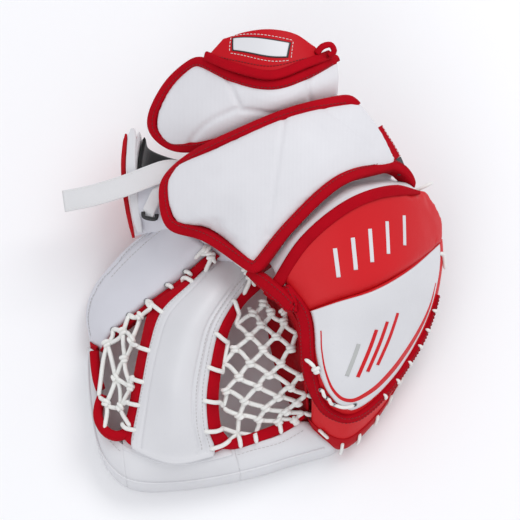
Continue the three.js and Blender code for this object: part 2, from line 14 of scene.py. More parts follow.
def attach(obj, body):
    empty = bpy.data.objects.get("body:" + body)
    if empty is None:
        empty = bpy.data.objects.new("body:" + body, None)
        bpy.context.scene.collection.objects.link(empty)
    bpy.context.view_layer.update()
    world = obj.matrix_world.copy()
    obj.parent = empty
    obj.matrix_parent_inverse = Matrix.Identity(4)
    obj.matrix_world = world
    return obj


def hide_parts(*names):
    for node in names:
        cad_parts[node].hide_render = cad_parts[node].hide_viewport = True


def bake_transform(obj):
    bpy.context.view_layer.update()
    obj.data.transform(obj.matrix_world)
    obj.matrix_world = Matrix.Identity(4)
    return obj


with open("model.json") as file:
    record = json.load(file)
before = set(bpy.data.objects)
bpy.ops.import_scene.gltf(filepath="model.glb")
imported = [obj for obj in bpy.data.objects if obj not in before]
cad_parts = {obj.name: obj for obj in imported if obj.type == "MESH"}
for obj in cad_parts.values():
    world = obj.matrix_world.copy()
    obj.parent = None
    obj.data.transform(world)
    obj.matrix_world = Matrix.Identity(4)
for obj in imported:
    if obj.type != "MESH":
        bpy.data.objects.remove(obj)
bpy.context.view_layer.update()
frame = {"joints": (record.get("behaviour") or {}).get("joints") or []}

JOINTS = {joint["name"]: joint for joint in frame["joints"]}
MM = 0.001

# ---------------------------------------------------------------- the drawn surfaces
# Grids of points in drawn millimetres: rows run from the wrist down, columns from the thumb to
# the fingers. SIZE brings them to senior size and SHIFT to the frame's origin.

SIZE = 1.12 * MM
BREAK_START = np.array([2, -2, 80], float)
SHIFT = np.array(JOINTS["glove_close"]["pos_m"]) - SIZE * BREAK_START

BACK_PAD = [
    [[-74, 80, 116], [-30, 91, 148], [25, 110, 162], [78, 130, 146]],
    [[-86, 55, 116], [-26, 72, 157], [33, 95, 169], [91, 117, 140]],
    [[-78, 21, 114], [-15, 52, 161], [43, 80, 171], [101, 104, 132]],
    [[-42, 8, 122], [2, 33, 159], [54, 64, 168], [109, 91, 125]],
    [[-3, -16, 130], [23, 13, 152], [65, 48, 160], [116, 77, 118]],
]
WRIST_PAD = [
    [[-55, 168, 146], [-24, 143, 162], [10, 132, 170], [42, 145, 166], [67, 167, 148]],
    [[-84, 147, 122], [-34, 126, 152], [10, 116, 164], [44, 129, 160], [71, 150, 144]],
    [[-98, 118, 102], [-41, 104, 140], [8, 107, 152], [42, 120, 150], [71, 140, 138]],
    [[-81, 91, 94], [-39, 88, 124], [9, 100, 138], [44, 115, 138], [70, 132, 126]],
]
WRIST_TAB = [
    [[-32, 171, 167], [-13, 175, 174], [8, 176, 178], [30, 173, 175], [47, 165, 165]],
    [[-41, 163, 161], [-17, 159, 171], [8, 155, 177], [34, 157, 173], [54, 160, 161]],
    [[-45, 159, 156], [-22, 144, 168], [10, 134, 175], [40, 147, 171], [60, 161, 157]],
]
KNUCKLE_LINE = [[2, -9, 104], [25, 13, 128], [63, 46, 136], [93, 60, 118], [117, 73, 87]]
FINGER_BACK = [
    [[13, -36, 118], [39, -6, 144], [75, 19, 157], [111, 39, 141], [144, 53, 102]],
    [[32, -58, 112], [63, -51, 126], [96, -41, 129], [127, -17, 110], [157, 20, 72]],
    [[36, -86, 98], [66, -87, 107], [97, -76, 105], [126, -56, 88], [154, -19, 58]],
    [[39, -111, 76], [62, -120, 80], [85, -118, 76], [111, -97, 68], [142, -58, 46]],
    [[41, -132, 34], [55, -145, 28], [75, -150, 26], [102, -125, 28], [126, -87, 34]],
]
FINGER_PALM = [
    [[14, -28, 74], [42, -4, 84], [79, 22, 86], [112, 42, 78], [138, 54, 72]],
    [[31, -54, 60], [62, -46, 72], [95, -34, 74], [127, -12, 66], [153, 20, 52]],
    [[38, -84, 46], [66, -86, 54], [97, -75, 54], [126, -54, 48], [151, -18, 38]],
    [[42, -109, 30], [62, -117, 34], [84, -114, 34], [109, -95, 32], [139, -57, 28]],
    [[45, -129, 6], [56, -140, 4], [74, -145, 4], [100, -121, 4], [123, -86, 8]],
]
THUMB_BACK = [
    [[-89, 40, 70], [-68, 31, 88], [-52, 18, 95], [-40, 9, 94]],
    [[-113, 32, 44], [-90, 17, 72], [-70, 4, 85], [-56, -2, 85]],
    [[-134, 15, 28], [-114, 0, 55], [-94, -14, 71], [-79, -22, 76]],
    [[-150, -5, 18], [-134, -19, 43], [-116, -31, 58], [-101, -38, 66]],
    [[-155, -28, 16], [-145, -39, 34], [-133, -49, 46], [-121, -55, 54]],
    [[-150, -55, 20], [-146, -60, 27], [-141, -64, 34], [-136, -67, 40]],
]
THUMB_PALM = [
    [[-84, 36, 46], [-66, 26, 58], [-52, 16, 64], [-43, 9, 66]],
    [[-106, 28, 20], [-88, 14, 38], [-72, 3, 48], [-60, -2, 52]],
    [[-127, 12, 8], [-112, -2, 24], [-95, -14, 36], [-82, -22, 44]],
    [[-143, -6, 2], [-131, -18, 16], [-116, -29, 28], [-103, -37, 38]],
    [[-149, -27, 2], [-142, -37, 11], [-132, -46, 21], [-122, -53, 29]],
    [[-146, -53, 6], [-143, -58, 12], [-139, -62, 18], [-135, -65, 24]],
]
STEM = [
    [[-48, -3, 76], [-41, -1, 82], [-21, -3, 90], [-5, -15, 88], [5, -21, 82]],
    [[-69, -21, 80], [-60, -23, 88], [-41, -34, 102], [-22, -38, 92], [-14, -41, 84]],
    [[-93, -38, 74], [-83, -46, 84], [-59, -62, 106], [-36, -64, 94], [-26, -64, 84]],
    [[-102, -68, 68], [-93, -75, 80], [-67, -89, 102], [-43, -92, 88], [-32, -91, 78]],
    [[-108, -96, 60], [-99, -103, 71], [-73, -115, 91], [-47, -119, 78], [-35, -118, 68]],
    [[-112, -120, 50], [-104, -126, 58], [-75, -141, 70], [-46, -143, 62], [-33, -139, 54]],
    [[-117, -137, 42], [-109, -148, 46], [-75, -162, 50], [-41, -156, 48], [-27, -148, 44]],
]
BAR = [
    [[-137, -71, 38], [-132, -98, 33], [-128, -124, 35], [-120, -139, 38], [-109, -150, 42],
     [-75, -164, 46], [-40, -158, 44], [-9, -146, 42], [12, -138, 40], [33, -129, 38]],
    [[-143, -67, 34], [-140, -100, 33], [-135, -132, 35], [-125, -147, 38], [-111, -158, 42],
     [-75, -169, 46], [-39, -164, 44], [-7, -154, 43], [16, -147, 41], [37, -133, 38]],
    [[-151, -60, 22], [-148, -105, 24], [-140, -149, 25], [-126, -173, 27], [-106, -184, 28],
     [-73, -184, 28], [-36, -179, 28], [-1, -171, 28], [28, -162, 28], [60, -153, 27]],
]
CUFF = [
    [[-110, 118, 86], [-106, 118, 44], [-78, 118, 12], [-40, 118, 0], [2, 118, 0],
     [45, 118, 0], [78, 118, 20], [94, 120, 90]],
    [[-114, 90, 84], [-109, 90, 42], [-80, 90, 10], [-40, 90, 0], [2, 90, 0],
     [45, 92, 0], [82, 102, 20], [100, 110, 92]],
    [[-113, 58, 76], [-107, 58, 36], [-79, 57, 8], [-40, 56, 0], [2, 58, 0],
     [45, 68, 0], [84, 88, 20], [104, 102, 90]],
    [[-108, 44, 60], [-102, 42, 30], [-76, 30, 6], [-40, 27, 0], [0, 31, 0],
     [42, 50, 2], [79, 76, 22], [104, 94, 84]],
]
CUFF_RIM = [[-111, 119, 89], [-112, 100, 88], [-112, 84, 87], [-110, 65, 83], [-108, 47, 77],
            [-104, 30, 69]]
CUFF_STRIP = [[-117, 116, 84], [-119, 92, 82], [-118, 70, 78], [-115, 49, 72], [-110, 27, 64]]
HEEL = [
    [[-70, 22, 14], [-36, 20, 8], [0, 23, 8], [38, 43, 12], [68, 66, 26]],
    [[-58, 10, 36], [-30, 6, 32], [0, 10, 34], [36, 34, 40], [66, 59, 52]],
    [[-42, -2, 50], [-20, -8, 50], [4, 2, 54], [36, 30, 60], [64, 54, 66]],
]
SIDE_WALL = [
    [[66, 133, 124], [75, 130, 108], [80, 124, 92], [84, 118, 78]],
    [[84, 118, 122], [88, 114, 108], [88, 111, 92], [86, 108, 78]],
    [[97, 102, 116], [98, 99, 104], [95, 98, 92], [90, 98, 78]],
    [[110, 84, 108], [108, 84, 100], [103, 86, 90], [97, 90, 80]],
]
THUMB_ROOT = [
    [[-109, 72, 84], [-85, 66, 93], [-62, 50, 99], [-30, 28, 103], [0, 6, 105]],
    [[-108, 46, 77], [-88, 44, 84], [-64, 32, 94], [-36, 12, 98], [-6, -8, 100]],
    [[-110, 31, 54], [-90, 30, 68], [-62, 17, 84], [-44, 4, 86], [-14, -14, 86]],
]
NET_RIGHT = [
    [[4, -25, 80], [11, -34, 82]],
    [[-12, -45, 82], [28, -57, 84]],
    [[-24, -68, 82], [33, -84, 78]],
    [[-30, -94, 76], [37, -106, 62]],
    [[-31, -120, 64], [38, -118, 48]],
    [[-18, -143, 45], [36, -127, 42]],
]
STRAP_LINE = [[-82, 77, 97], [-100, 71, 95], [-118, 64.5, 93], [-145, 57, 90], [-170, 53, 86]]
STRAP_END = [-70, 77, 98]
KEEPER_LINE = [[-85, 69, 90], [-88, 60, 92], [-92, 51, 91.5], [-95.5, 44, 89], [-96.5, 41, 84]]
KEEPER_RING = [[-101, 43, 87], [-100.5, 39, 86.5], [-95.5, 37, 86.5], [-90, 37, 86.5],
               [-89, 41, 87]]
TAB_LINE = [[101, 106, 126], [106, 98, 123], [112, 90, 118], [117, 82, 114]]
TAB_END = [[117, 82, 113], [120, 76, 110], [122, 72, 107]]


def placed(points):
    """Drawn millimetres to metres in the frame."""
    return np.asarray(points, float) * SIZE + SHIFT


def weights(count, t):
    """Catmull-Rom weights of `count` evenly spaced points at the places t, from 0 to 1."""
    t = np.asarray(t, float) * (count - 1)
    i = np.clip(np.floor(t).astype(int), 0, count - 2)
    f = t - i
    rows = np.arange(len(t))
    w = np.zeros((len(t), count + 2))
    w[rows, i] += -0.5 * f + f**2 - 0.5 * f**3
    w[rows, i + 1] += 1 - 2.5 * f**2 + 1.5 * f**3
    w[rows, i + 2] += 0.5 * f + 2 * f**2 - 1.5 * f**3
    w[rows, i + 3] += -0.5 * f**2 + 0.5 * f**3
    inner = w[:, 1:-1].copy()
    inner[:, 0] += 2 * w[:, 0]
    inner[:, 1] -= w[:, 0]
    inner[:, -1] += 2 * w[:, -1]
    inner[:, -2] -= w[:, -1]
    return inner


class Surface:
    """A smooth surface through a grid of points. u runs along each row, v from row to row."""

    def __init__(self, rows, drawn=True):
        self.points = placed(rows) if drawn else np.asarray(rows, float)

    def at(self, u, v):
        u, v = np.broadcast_arrays(np.asarray(u, float), np.asarray(v, float))
        across = weights(self.points.shape[1], u.ravel())
        down = weights(self.points.shape[0], v.ravel())
        found = np.einsum("nj,ni,jik->nk", down, across, self.points)
        return found.reshape(*u.shape, 3)

    def normal(self, u, v):
        step = 0.01
        u0, v0 = np.clip(u, step, 1 - step), np.clip(v, step, 1 - step)
        across = self.at(u0 + step, v0) - self.at(u0 - step, v0)
        down = self.at(u0, v0 + step) - self.at(u0, v0 - step)
        return unit(np.cross(down, across))


def unit(vectors):
    return vectors / np.maximum(np.linalg.norm(vectors, axis=-1, keepdims=True), 1e-12)


def above(surface):
    """Points at a height in metres above a surface, along its normal."""
    def place(u, v, height):
        height = np.asarray(height, float)
        return surface.at(u, v) + surface.normal(u, v) * height[..., None]
    return place


def between(lower, upper):
    """Points between two surfaces: 0 is on the lower one and 1 on the upper one."""
    def place(u, v, share):
        share = np.asarray(share, float)[..., None]
        return lower.at(u, v) * (1 - share) + upper.at(u, v) * share
    return place


# ---------------------------------------------------------------- meshes

def mesh_object(name, points, faces, uv):
    """A smooth-shaded mesh object; uv is one pair for each corner of each face."""
    mesh = bpy.data.meshes.new(name)
    mesh.from_pydata([tuple(p) for p in np.asarray(points).reshape(-1, 3)], [], faces)
    mesh.validate()
    layer = mesh.uv_layers.new(name="UVMap")
    layer.data.foreach_set("uv", np.asarray(uv, np.float32).ravel())
    mesh.polygons.foreach_set("use_smooth", [p.loop_total <= 4 for p in mesh.polygons])
    obj = bpy.data.objects.new(name, mesh)
    bpy.context.scene.collection.objects.link(obj)
    return obj


def face_out(obj):
    """Turns every face of a closed mesh outwards."""
    made = bmesh.new()
    made.from_mesh(obj.data)
    bmesh.ops.recalc_face_normals(made, faces=made.faces)
    made.to_mesh(obj.data)
    made.free()
    return obj


def apply_modifiers(obj):
    bpy.context.view_layer.update()
    graph = bpy.context.evaluated_depsgraph_get()
    mesh = bpy.data.meshes.new_from_object(obj.evaluated_get(graph))
    old = obj.data
    obj.modifiers.clear()
    obj.data = mesh
    bpy.data.meshes.remove(old)
    obj.data.polygons.foreach_set("use_smooth", [True] * len(obj.data.polygons))
    return obj


def dense_ends(count):
    """Steps from 0 to 1 that are closer together near both ends."""
    even = np.linspace(0, 1, count + 1)
    return 0.45 * even + 0.55 * (0.5 - 0.5 * np.cos(np.pi * even))


def rounding(distance, radius):
    """A quarter circle's rise from an edge: 0 at the edge and 1 a radius in from it."""
    inward = np.clip(distance / radius, 0, 1)
    return np.sqrt(1 - (1 - inward) ** 2)


def panel(name, place, low, high, u=(0, 1), v=(0, 1), columns=40, rows=40, radius=1.5 * MM,
          crown=0.0, drop=None, rise=None):
    """A closed panel with rounded edges over part of a surface, from height low to high.
    u may be a function of v. Radius is the edge rounding's reach, and drop and rise are how
    far the top and the bottom come in at the edge, in the place's own unit of height."""
    across = dense_ends(columns)
    down = dense_ends(rows)
    vs = v[0] + (v[1] - v[0]) * down
    ranges = np.array([u(x) if callable(u) else u for x in vs])
    us = ranges[:, :1] + (ranges[:, 1:] - ranges[:, :1]) * across[None, :]
    vs = np.broadcast_to(vs[:, None], us.shape)
    middle = place(us, vs, np.full(us.shape, (low + high) / 2))
    from_left = cumulative(middle, 1)
    from_top = cumulative(middle, 0)
    edge = np.minimum.reduce([from_left, from_left[:, -1:] - from_left,
                              from_top, from_top[-1:, :] - from_top])
    drop = min(radius, abs(high - low) * 0.45) if drop is None else drop
    rise = drop if rise is None else rise
    curve = rounding(edge, radius)
    swell = crown * np.sin(np.pi * across)[None, :] * np.sin(np.pi * down)[:, None]
    top = place(us, vs, high - drop * (1 - curve) + swell)
    bottom = place(us, vs, low + rise * (1 - curve))
    return face_out(closed_grid(name, top, bottom, from_left, from_top))


def cumulative(points, axis):
    """Distance along a grid's rows or columns, from its first edge."""
    steps = np.linalg.norm(np.diff(points, axis=axis), axis=-1)
    start = np.zeros_like(np.take(steps, [0], axis=axis))
    return np.concatenate([start, np.cumsum(steps, axis=axis)], axis=axis)


def closed_grid(name, top, bottom, along_u, along_v):
    rows, columns = top.shape[:2]
    number = np.arange(rows * columns).reshape(rows, columns)
    offset = rows * columns
    faces, uv = [], []

    def quad(a, b, c, d):
        faces.append([a, b, c, d])
        for corner in (a, b, c, d):
            j, i = divmod(corner % offset, columns)
            uv.append((along_u[j, i], along_v[j, i]))

    for j in range(rows - 1):
        for i in range(columns - 1):
            a, b, c, d = number[j, i], number[j, i + 1], number[j + 1, i + 1], number[j + 1, i]
            quad(a, b, c, d)
            quad(d + offset, c + offset, b + offset, a + offset)
    rim = ([number[0, i] for i in range(columns)]
           + [number[j, -1] for j in range(1, rows)]
           + [number[-1, i] for i in range(columns - 2, -1, -1)]
           + [number[j, 0] for j in range(rows - 2, 0, -1)])
    for a, b in zip(rim, rim[1:] + rim[:1]):
        quad(b, a, a + offset, b + offset)
    points = np.concatenate([top.reshape(-1, 3), bottom.reshape(-1, 3)])
    return mesh_object(name, points, [[int(k) for k in f] for f in faces], uv)


def rounded_section(width, height, radius, steps=4):
    """Points round a rectangle with rounded corners, anticlockwise."""
    radius = min(radius, width / 2 - 1e-6, height / 2 - 1e-6)
    points = []
    for corner, (sx, sy) in enumerate(((1, 1), (-1, 1), (-1, -1), (1, -1))):
        for k in range(steps + 1):
            angle = math.pi / 2 * (corner + k / steps)
            points.append((sx * (width / 2 - radius) + radius * math.cos(angle),
                           sy * (height / 2 - radius) + radius * math.sin(angle)))
    return np.array(points)


def round_section(radius, sides=8, flat=1.0):
    angles = np.arange(sides) * 2 * math.pi / sides
    return np.stack([radius * np.cos(angles), radius * flat * np.sin(angles)], 1)


def sweep_parts(centres, sides, ups, section, closed=False):
    """Points, faces and uv of a section carried along a path."""
    count, around = len(centres), len(section)
    points = (centres[:, None] + sides[:, None] * section[None, :, 0, None]
              + ups[:, None] * section[None, :, 1, None])
    steps = np.linalg.norm(np.diff(centres, axis=0, append=centres[:1]), axis=1)
    along = np.concatenate([[0], np.cumsum(steps)])
    girth = np.linalg.norm(np.diff(section, axis=0, append=section[:1]), axis=1)
    round_it = np.concatenate([[0], np.cumsum(girth)])
    faces, uv = [], []
    for j in range(count if closed else count - 1):
        k = (j + 1) % count
        for i in range(around):
            n = (i + 1) % around
            faces.append([j * around + i, j * around + n, k * around + n, k * around + i])
            uv += [(along[j], round_it[i]), (along[j], round_it[i + 1]),
                   (along[j + 1], round_it[i + 1]), (along[j + 1], round_it[i])]
    if not closed:
        for j, ring in ((0, range(around)), (count - 1, range(around - 1, -1, -1))):
            faces.append([j * around + i for i in ring])
            uv += [(along[j], round_it[i]) for i in ring]
    return points.reshape(-1, 3), faces, uv


def joined_parts(name, parts):
    """One mesh object from several (points, faces, uv)."""
    points, faces, uv, start = [], [], [], 0
    for p, f, t in parts:
        points.append(p)
        faces += [[start + i for i in face] for face in f]
        uv += t
        start += len(p)
    return face_out(mesh_object(name, np.concatenate(points), faces, uv))


def run_length(line):
    """Distance along a polyline, from its first point."""
    steps = np.linalg.norm(np.diff(line[:, :3], axis=0), axis=1)
    return np.concatenate([[0], np.cumsum(steps)])


def sampled(line, along, at):
    return np.stack([np.interp(at, along, line[:, k]) for k in range(line.shape[1])], 1)


def resampled(line, spacing):
    """Even spacing along a polyline, carrying any further columns with its points."""
    along = run_length(line)
    at = np.linspace(0, along[-1], max(int(round(along[-1] / spacing)), 4) + 1)
    return sampled(line, along, at)


def relaxed(points, times):
    """Rounds a polyline's corners."""
    points = np.array(points, float)
    for _ in range(times):
        points[1:-1] = (points[:-2] + points[1:-1] * 2 + points[2:]) / 4
    return points


def curve_through(points, spacing=1.5 * MM):
    """A smooth open curve through a few points, evenly stepped."""
    points = np.asarray(points, float)
    t = np.linspace(0, 1, (len(points) - 1) * 16 + 1)
    return resampled(weights(len(points), t) @ points, spacing)


def tangents(points):
    return unit(np.gradient(points, axis=0))


def turned_frames(points):
    """Sides and ups along an open curve, carried along without twisting."""
    along = tangents(points)
    side = np.cross(along[0], [0, 0, 1.0])
    if np.linalg.norm(side) < 1e-3:
        side = np.cross(along[0], [1.0, 0, 0])
    side = unit(side)
    sides = []
    for t in along:
        side = unit(side - t * (side @ t))
        sides.append(side)
    sides = np.array(sides)
    return sides, np.cross(sides, along)


def tube_parts(points, radius, sides=8, flat=1.0, ups=None):
    points = np.asarray(points, float)
    if ups is None:
        side, up = turned_frames(points)
    else:
        along = tangents(points)
        side = unit(np.cross(along, ups))
        up = np.cross(side, along)
    return sweep_parts(points, side, up, round_section(radius, sides, flat))


# ---------------------------------------------------------------- stitches, seams and bindings

def settled(obj, line, lift):
    """A line brought down from a lift onto the outside of a finished piece, and the normals."""
    tree = BVHTree.FromPolygons([v.co for v in obj.data.vertices],
                                [p.vertices for p in obj.data.polygons])
    found = [tree.find_nearest(Vector(point + [0, 0, lift]))[:2] for point in line]
    points = relaxed(np.array([tuple(co) for co, _ in found]), 3)
    return points, unit(relaxed(np.array([tuple(normal) for _, normal in found]), 3))


def stitch_parts(path, normals, length, gap, radius=0.42 * MM):
    """Separate stitches along a path that lies on a surface."""
    along = run_length(path)
    proud = 0.25 * MM
    parts = []
    start = gap
    while start + length < along[-1]:
        at = start + length * np.array([0, 0.12, 0.35, 0.65, 0.88, 1])
        points, ups = sampled(path, along, at), unit(sampled(normals, along, at))
        sunk = np.array([-1.4, 0.2, 1, 1, 0.2, -1.4])[:, None] * proud
        parts.append(tube_parts(points + ups * sunk, radius, 6, 0.8, ups))
        start += length + gap
    return parts


def double_row(line, shift, normals, *sizes):
    """Stitches in two rows, one on either side of a line."""
    return [part for way in (-1, 1) for part in stitch_parts(line + shift * way, normals, *sizes)]


def carve(obj, paths, width, depth):
    """Presses sewn channels into a piece along paths that lie on it."""
    points = np.concatenate(paths)
    tree = kdtree.KDTree(len(points))
    for k, point in enumerate(points):
        tree.insert(Vector(point), k)
    tree.balance()
    for vertex in obj.data.vertices:
        _, _, distance = tree.find(vertex.co)
        if distance < width * 2.5:
            vertex.co -= vertex.normal * depth * math.exp(-((distance / width) ** 2))
    obj.data.update()


CLOTH = {"quality": 5, "mass": 0.3, "tension_stiffness": 15, "compression_stiffness": 15,
         "shear_stiffness": 8, "bending_stiffness": 0.4, "use_pressure": True,
         "uniform_pressure_force": 3.0}
CLOTH_STEPS = 20


def swollen(obj, cap, voxel=3.5 * MM):
    """Puffs a closed pad up as cloth under pressure, no point moving further than cap."""
    remesh = obj.modifiers.new("Remesh", "REMESH")
    remesh.mode = "VOXEL"
    remesh.voxel_size = voxel
    apply_modifiers(obj)
    start = np.array([v.co for v in obj.data.vertices])
    cloth = obj.modifiers.new("Cloth", "CLOTH")
    for key, value in CLOTH.items():
        setattr(cloth.settings, key, value)
    cloth.settings.effector_weights.gravity = 0
    cloth.collision_settings.use_collision = False
    scene = bpy.context.scene
    for step in range(1, CLOTH_STEPS + 1):
        scene.frame_set(step)
    apply_modifiers(obj)
    end = np.array([v.co for v in obj.data.vertices])
    move = end - start
    length = np.linalg.norm(move, axis=1, keepdims=True)
    end = start + move * np.minimum(1, cap / np.maximum(length, 1e-9))
    obj.data.vertices.foreach_set("co", end.astype(np.float32).ravel())
    scene.frame_set(1)
    subdivision = obj.modifiers.new("Subdivision", "SUBSURF")
    subdivision.levels = subdivision.render_levels = 1
    apply_modifiers(obj)
    return obj


# ---------------------------------------------------------------- materials

WAVE_SCALE = 0.314  # the wave texture's scale for one wave a metre


class Nodes:
    """A short way to wire one material."""

    def __init__(self, name):
        self.material = bpy.data.materials.new(name)
        self.material.use_nodes = True
        self.tree = self.material.node_tree
        self.shader = self.tree.nodes["Principled BSDF"]
        self.coordinates = self.tree.nodes.new("ShaderNodeTexCoord")

    def add(self, kind, inputs=None, **settings):
        node = self.tree.nodes.new(kind)
        for key, value in settings.items():
            setattr(node, key, value)
        for key, value in (inputs or {}).items():
            if isinstance(value, bpy.types.NodeSocket):
                self.tree.links.new(value, node.inputs[key])
            else:
                node.inputs[key].default_value = value
        return node

    def link(self, socket, key):
        self.tree.links.new(socket, self.shader.inputs[key])

    def set(self, **values):
        """Plain values of the shader's inputs, with _ for each space in a name."""
        for key, value in values.items():
            self.shader.inputs[key.replace("_", " ")].default_value = value

    def math(self, operation, a, b):
        return self.add("ShaderNodeMath", {0: a, 1: b}, operation=operation).outputs[0]

    def shares(self, a, share_a, b, share_b):
        """Two values added up in shares."""
        return self.math("ADD", self.math("MULTIPLY", a, share_a),
                         self.math("MULTIPLY", b, share_b))

    def wave(self, vector, pitch, direction, inputs=None):
        inputs = {"Vector": vector, "Scale": WAVE_SCALE / pitch, **(inputs or {})}
        return self.add("ShaderNodeTexWave", inputs, bands_direction=direction).outputs["Fac"]

    def noise(self, vector, scale, detail=4.0, roughness=0.55):
        inputs = {"Vector": vector, "Scale": scale, "Detail": detail, "Roughness": roughness}
        return self.add("ShaderNodeTexNoise", inputs).outputs["Fac"]

    def ramp(self, factor, colour, *stops):
        """A colour that changes along a factor: two stops of (place, lightness)."""
        node = self.add("ShaderNodeValToRGB", {"Fac": factor})
        for element, (position, lightness) in zip(node.color_ramp.elements, stops):
            element.position = position
            element.color = (*tinted(colour, lightness), 1)
        return node.outputs["Color"]

    def bump(self, height, strength, distance, onto=None):
        inputs = {"Height": height, "Strength": strength, "Distance": distance}
        if onto is not None:
            inputs["Normal"] = onto
        return self.add("ShaderNodeBump", inputs).outputs["Normal"]


def tinted(colour, amount):
    return tuple(min(1.0, c * amount) for c in colour)


def leather(name, colour, roughness=0.42, shine=0.4):
    """Coated leather: fine pebbled grain, slight colour drift and darker scuffs scattered at
    random.
    """
    worn, grain, depth = 0.05, 620.0, 0.22
    n = Nodes(name)
    place = n.coordinates.outputs["Object"]
    cells = n.add("ShaderNodeTexVoronoi", {"Vector": place, "Scale": grain, "Randomness": 1.0},
                  feature="SMOOTH_F1").outputs["Distance"]
    creases = n.noise(place, 55.0, 6.0, 0.6)
    drift = n.noise(place, 9.0, 3.0)
    scuff = n.noise(place, 130.0, 8.0, 0.7)
    base = n.ramp(drift, colour, (0.3, 1 - worn), (0.7, 1 + worn))
    marks = n.math("MULTIPLY", n.math("GREATER_THAN", scuff, 0.66), 0.35)
    mixed = n.add("ShaderNodeMix", {"Factor": marks}, data_type="RGBA")
    n.tree.links.new(base, mixed.inputs["A"])
    mixed.inputs["B"].default_value = (*tinted(colour, 1 - 2 * worn), 1)
    n.link(mixed.outputs["Result"], "Base Color")
    gloss = n.math("ADD", n.math("MULTIPLY", creases, 0.18), roughness - 0.09)
    n.link(gloss, "Roughness")
    fine = n.bump(cells, depth, 0.25 * MM)
    n.link(n.bump(creases, 0.25, 0.9 * MM, fine), "Normal")
    n.set(Specular_IOR_Level=shine)
    return n.material


def knit(name, colour):
    """Fine ribbed mesh cloth: ribs along the hand, loops along each rib."""
    pitch = 1.25 * MM
    n = Nodes(name)
    place = n.coordinates.outputs["Object"]
    ribs = n.wave(place, pitch, "X", {"Distortion": 0.25, "Detail": 1.0})
    loops = n.wave(place, pitch * 0.8, "Y", {"Distortion": 0.4})
    weave = n.shares(ribs, 0.7, loops, 0.3)
    soil = n.noise(place, 14.0, 5.0, 0.6)
    fuzz = n.noise(place, 900.0, 2.0)
    shade = n.shares(weave, 0.35, soil, 0.65)
    n.link(n.ramp(shade, colour, (0.2, 0.9), (0.8, 1.05)), "Base Color")
    relief = n.bump(weave, 0.35, 0.3 * MM)
    n.link(n.bump(fuzz, 0.15, 0.2 * MM, relief), "Normal")
    n.set(Roughness=0.85, Sheen_Weight=0.25, Sheen_Roughness=0.5, Specular_IOR_Level=0.25)
    return n.material


def tape(name, colour, pitch=0.9 * MM, shine=0.06, tints=(0.75, 1.2)):
    """Woven edge tape or webbing: ribs across its length, laid out by its own uv in metres."""
    n = Nodes(name)
    place = n.coordinates.outputs["UV"]
    body = n.coordinates.outputs["Object"]
    ribs = n.wave(place, pitch, "X", {"Distortion": 0.6, "Detail": 1.0, "Detail Scale": 2.0})
    threads = n.wave(place, pitch * 0.6, "Y", {"Distortion": 0.8})
    weave = n.shares(ribs, 0.65, threads, 0.35)
    drift = n.noise(body, 30.0, 5.0, 0.65)
    shade = n.shares(weave, 0.5, drift, 0.5)
    n.link(n.ramp(shade, colour, (0.25, tints[0]), (0.75, tints[1])), "Base Color")
    relief = n.bump(weave, 0.5, 0.3 * MM)
    n.link(n.bump(drift, 0.3, 0.8 * MM, relief), "Normal")
    n.set(Roughness=0.75, Specular_IOR_Level=shine)
    return n.material


def waxed_lace(name, colour):
    """Braided lace with a little wax: crossed diagonal strands."""
    n = Nodes(name)
    place = n.coordinates.outputs["UV"]
    braid = []
    for turn in (0.9, -0.9):
        mapping = n.add("ShaderNodeMapping", {"Vector": place, "Rotation": (0, 0, turn)})
        braid.append(n.wave(mapping.outputs[0], 1.1 * MM, "X"))
    weave = n.math("MAXIMUM", braid[0], braid[1])
    dirt = n.noise(n.coordinates.outputs["Object"], 60.0, 4.0)
    shade = n.shares(weave, 0.4, dirt, 0.6)
    n.link(n.ramp(shade, colour, (0.25, 0.84), (0.8, 1.04)), "Base Color")
    n.link(n.bump(weave, 0.45, 0.3 * MM), "Normal")
    n.set(Roughness=0.5, Specular_IOR_Level=0.4)
    return n.material


def moulded(name, colour, roughness=0.38):
    """Moulded plastic with a fine spark-eroded texture."""
    n = Nodes(name)
    place = n.coordinates.outputs["Object"]
    texture = n.noise(place, 500.0, 3.0, 0.6)
    smear = n.noise(place, 25.0, 4.0)
    n.link(n.ramp(smear, colour, (0.3, 0.85), (0.7, 1.15)), "Base Color")
    n.link(n.math("ADD", n.math("MULTIPLY", smear, 0.15), roughness - 0.07), "Roughness")
    n.link(n.bump(texture, 0.2, 0.15 * MM), "Normal")
    return n.material


def plush(name, colour):
    """Brushed lining cloth or cut foam."""
    n = Nodes(name)
    place = n.coordinates.outputs["Object"]
    pile = n.noise(place, 700.0, 4.0, 0.7)
    patches = n.noise(place, 20.0, 5.0)
    shade = n.shares(pile, 0.5, patches, 0.5)
    n.link(n.ramp(shade, colour, (0.3, 0.7), (0.7, 1.3)), "Base Color")
    n.link(n.bump(pile, 0.5, 0.5 * MM), "Normal")
    n.set(Roughness=0.95, Sheen_Weight=0.3, Specular_IOR_Level=0.15)
    return n.material


WHITE_KNIT = knit("white_knit", (0.74, 0.735, 0.76))
RED_TAPE = tape("red_binding", (0.42, 0.002, 0.010))
RED_LEATHER = leather("red_leather", (0.60, 0.010, 0.015), 0.45, 0.22)
DARK_RED_LEATHER = leather("dark_red_leather", (0.42, 0.004, 0.010), 0.55, 0.12)
WHITE_LEATHER = leather("white_leather", (0.69, 0.69, 0.71), 0.42)
# the thumb's leather, a little darker and bluer than the white leather: partly its own grey-white
# tone, partly painted shade for the thumb's side that faces away from the key light
SHADED_GREY_LEATHER = leather("grey_leather", (0.66, 0.66, 0.71), 0.45)
TAB_LEATHER = leather("tab_leather", (0.50, 0.005, 0.012), 0.5, 0.14)
LIGHT_GREY = leather("light_grey_print", (0.46, 0.47, 0.46), 0.5)
PALM_LEATHER = leather("palm_leather", (0.42, 0.055, 0.06), 0.6, 0.15)
LINING = plush("black_lining", (0.028, 0.028, 0.03))
FOAM = plush("foam", (0.45, 0.45, 0.47))
BOARD = moulded("board", (0.78, 0.78, 0.80), 0.5)
LACE = waxed_lace("lace", (0.85, 0.85, 0.82))
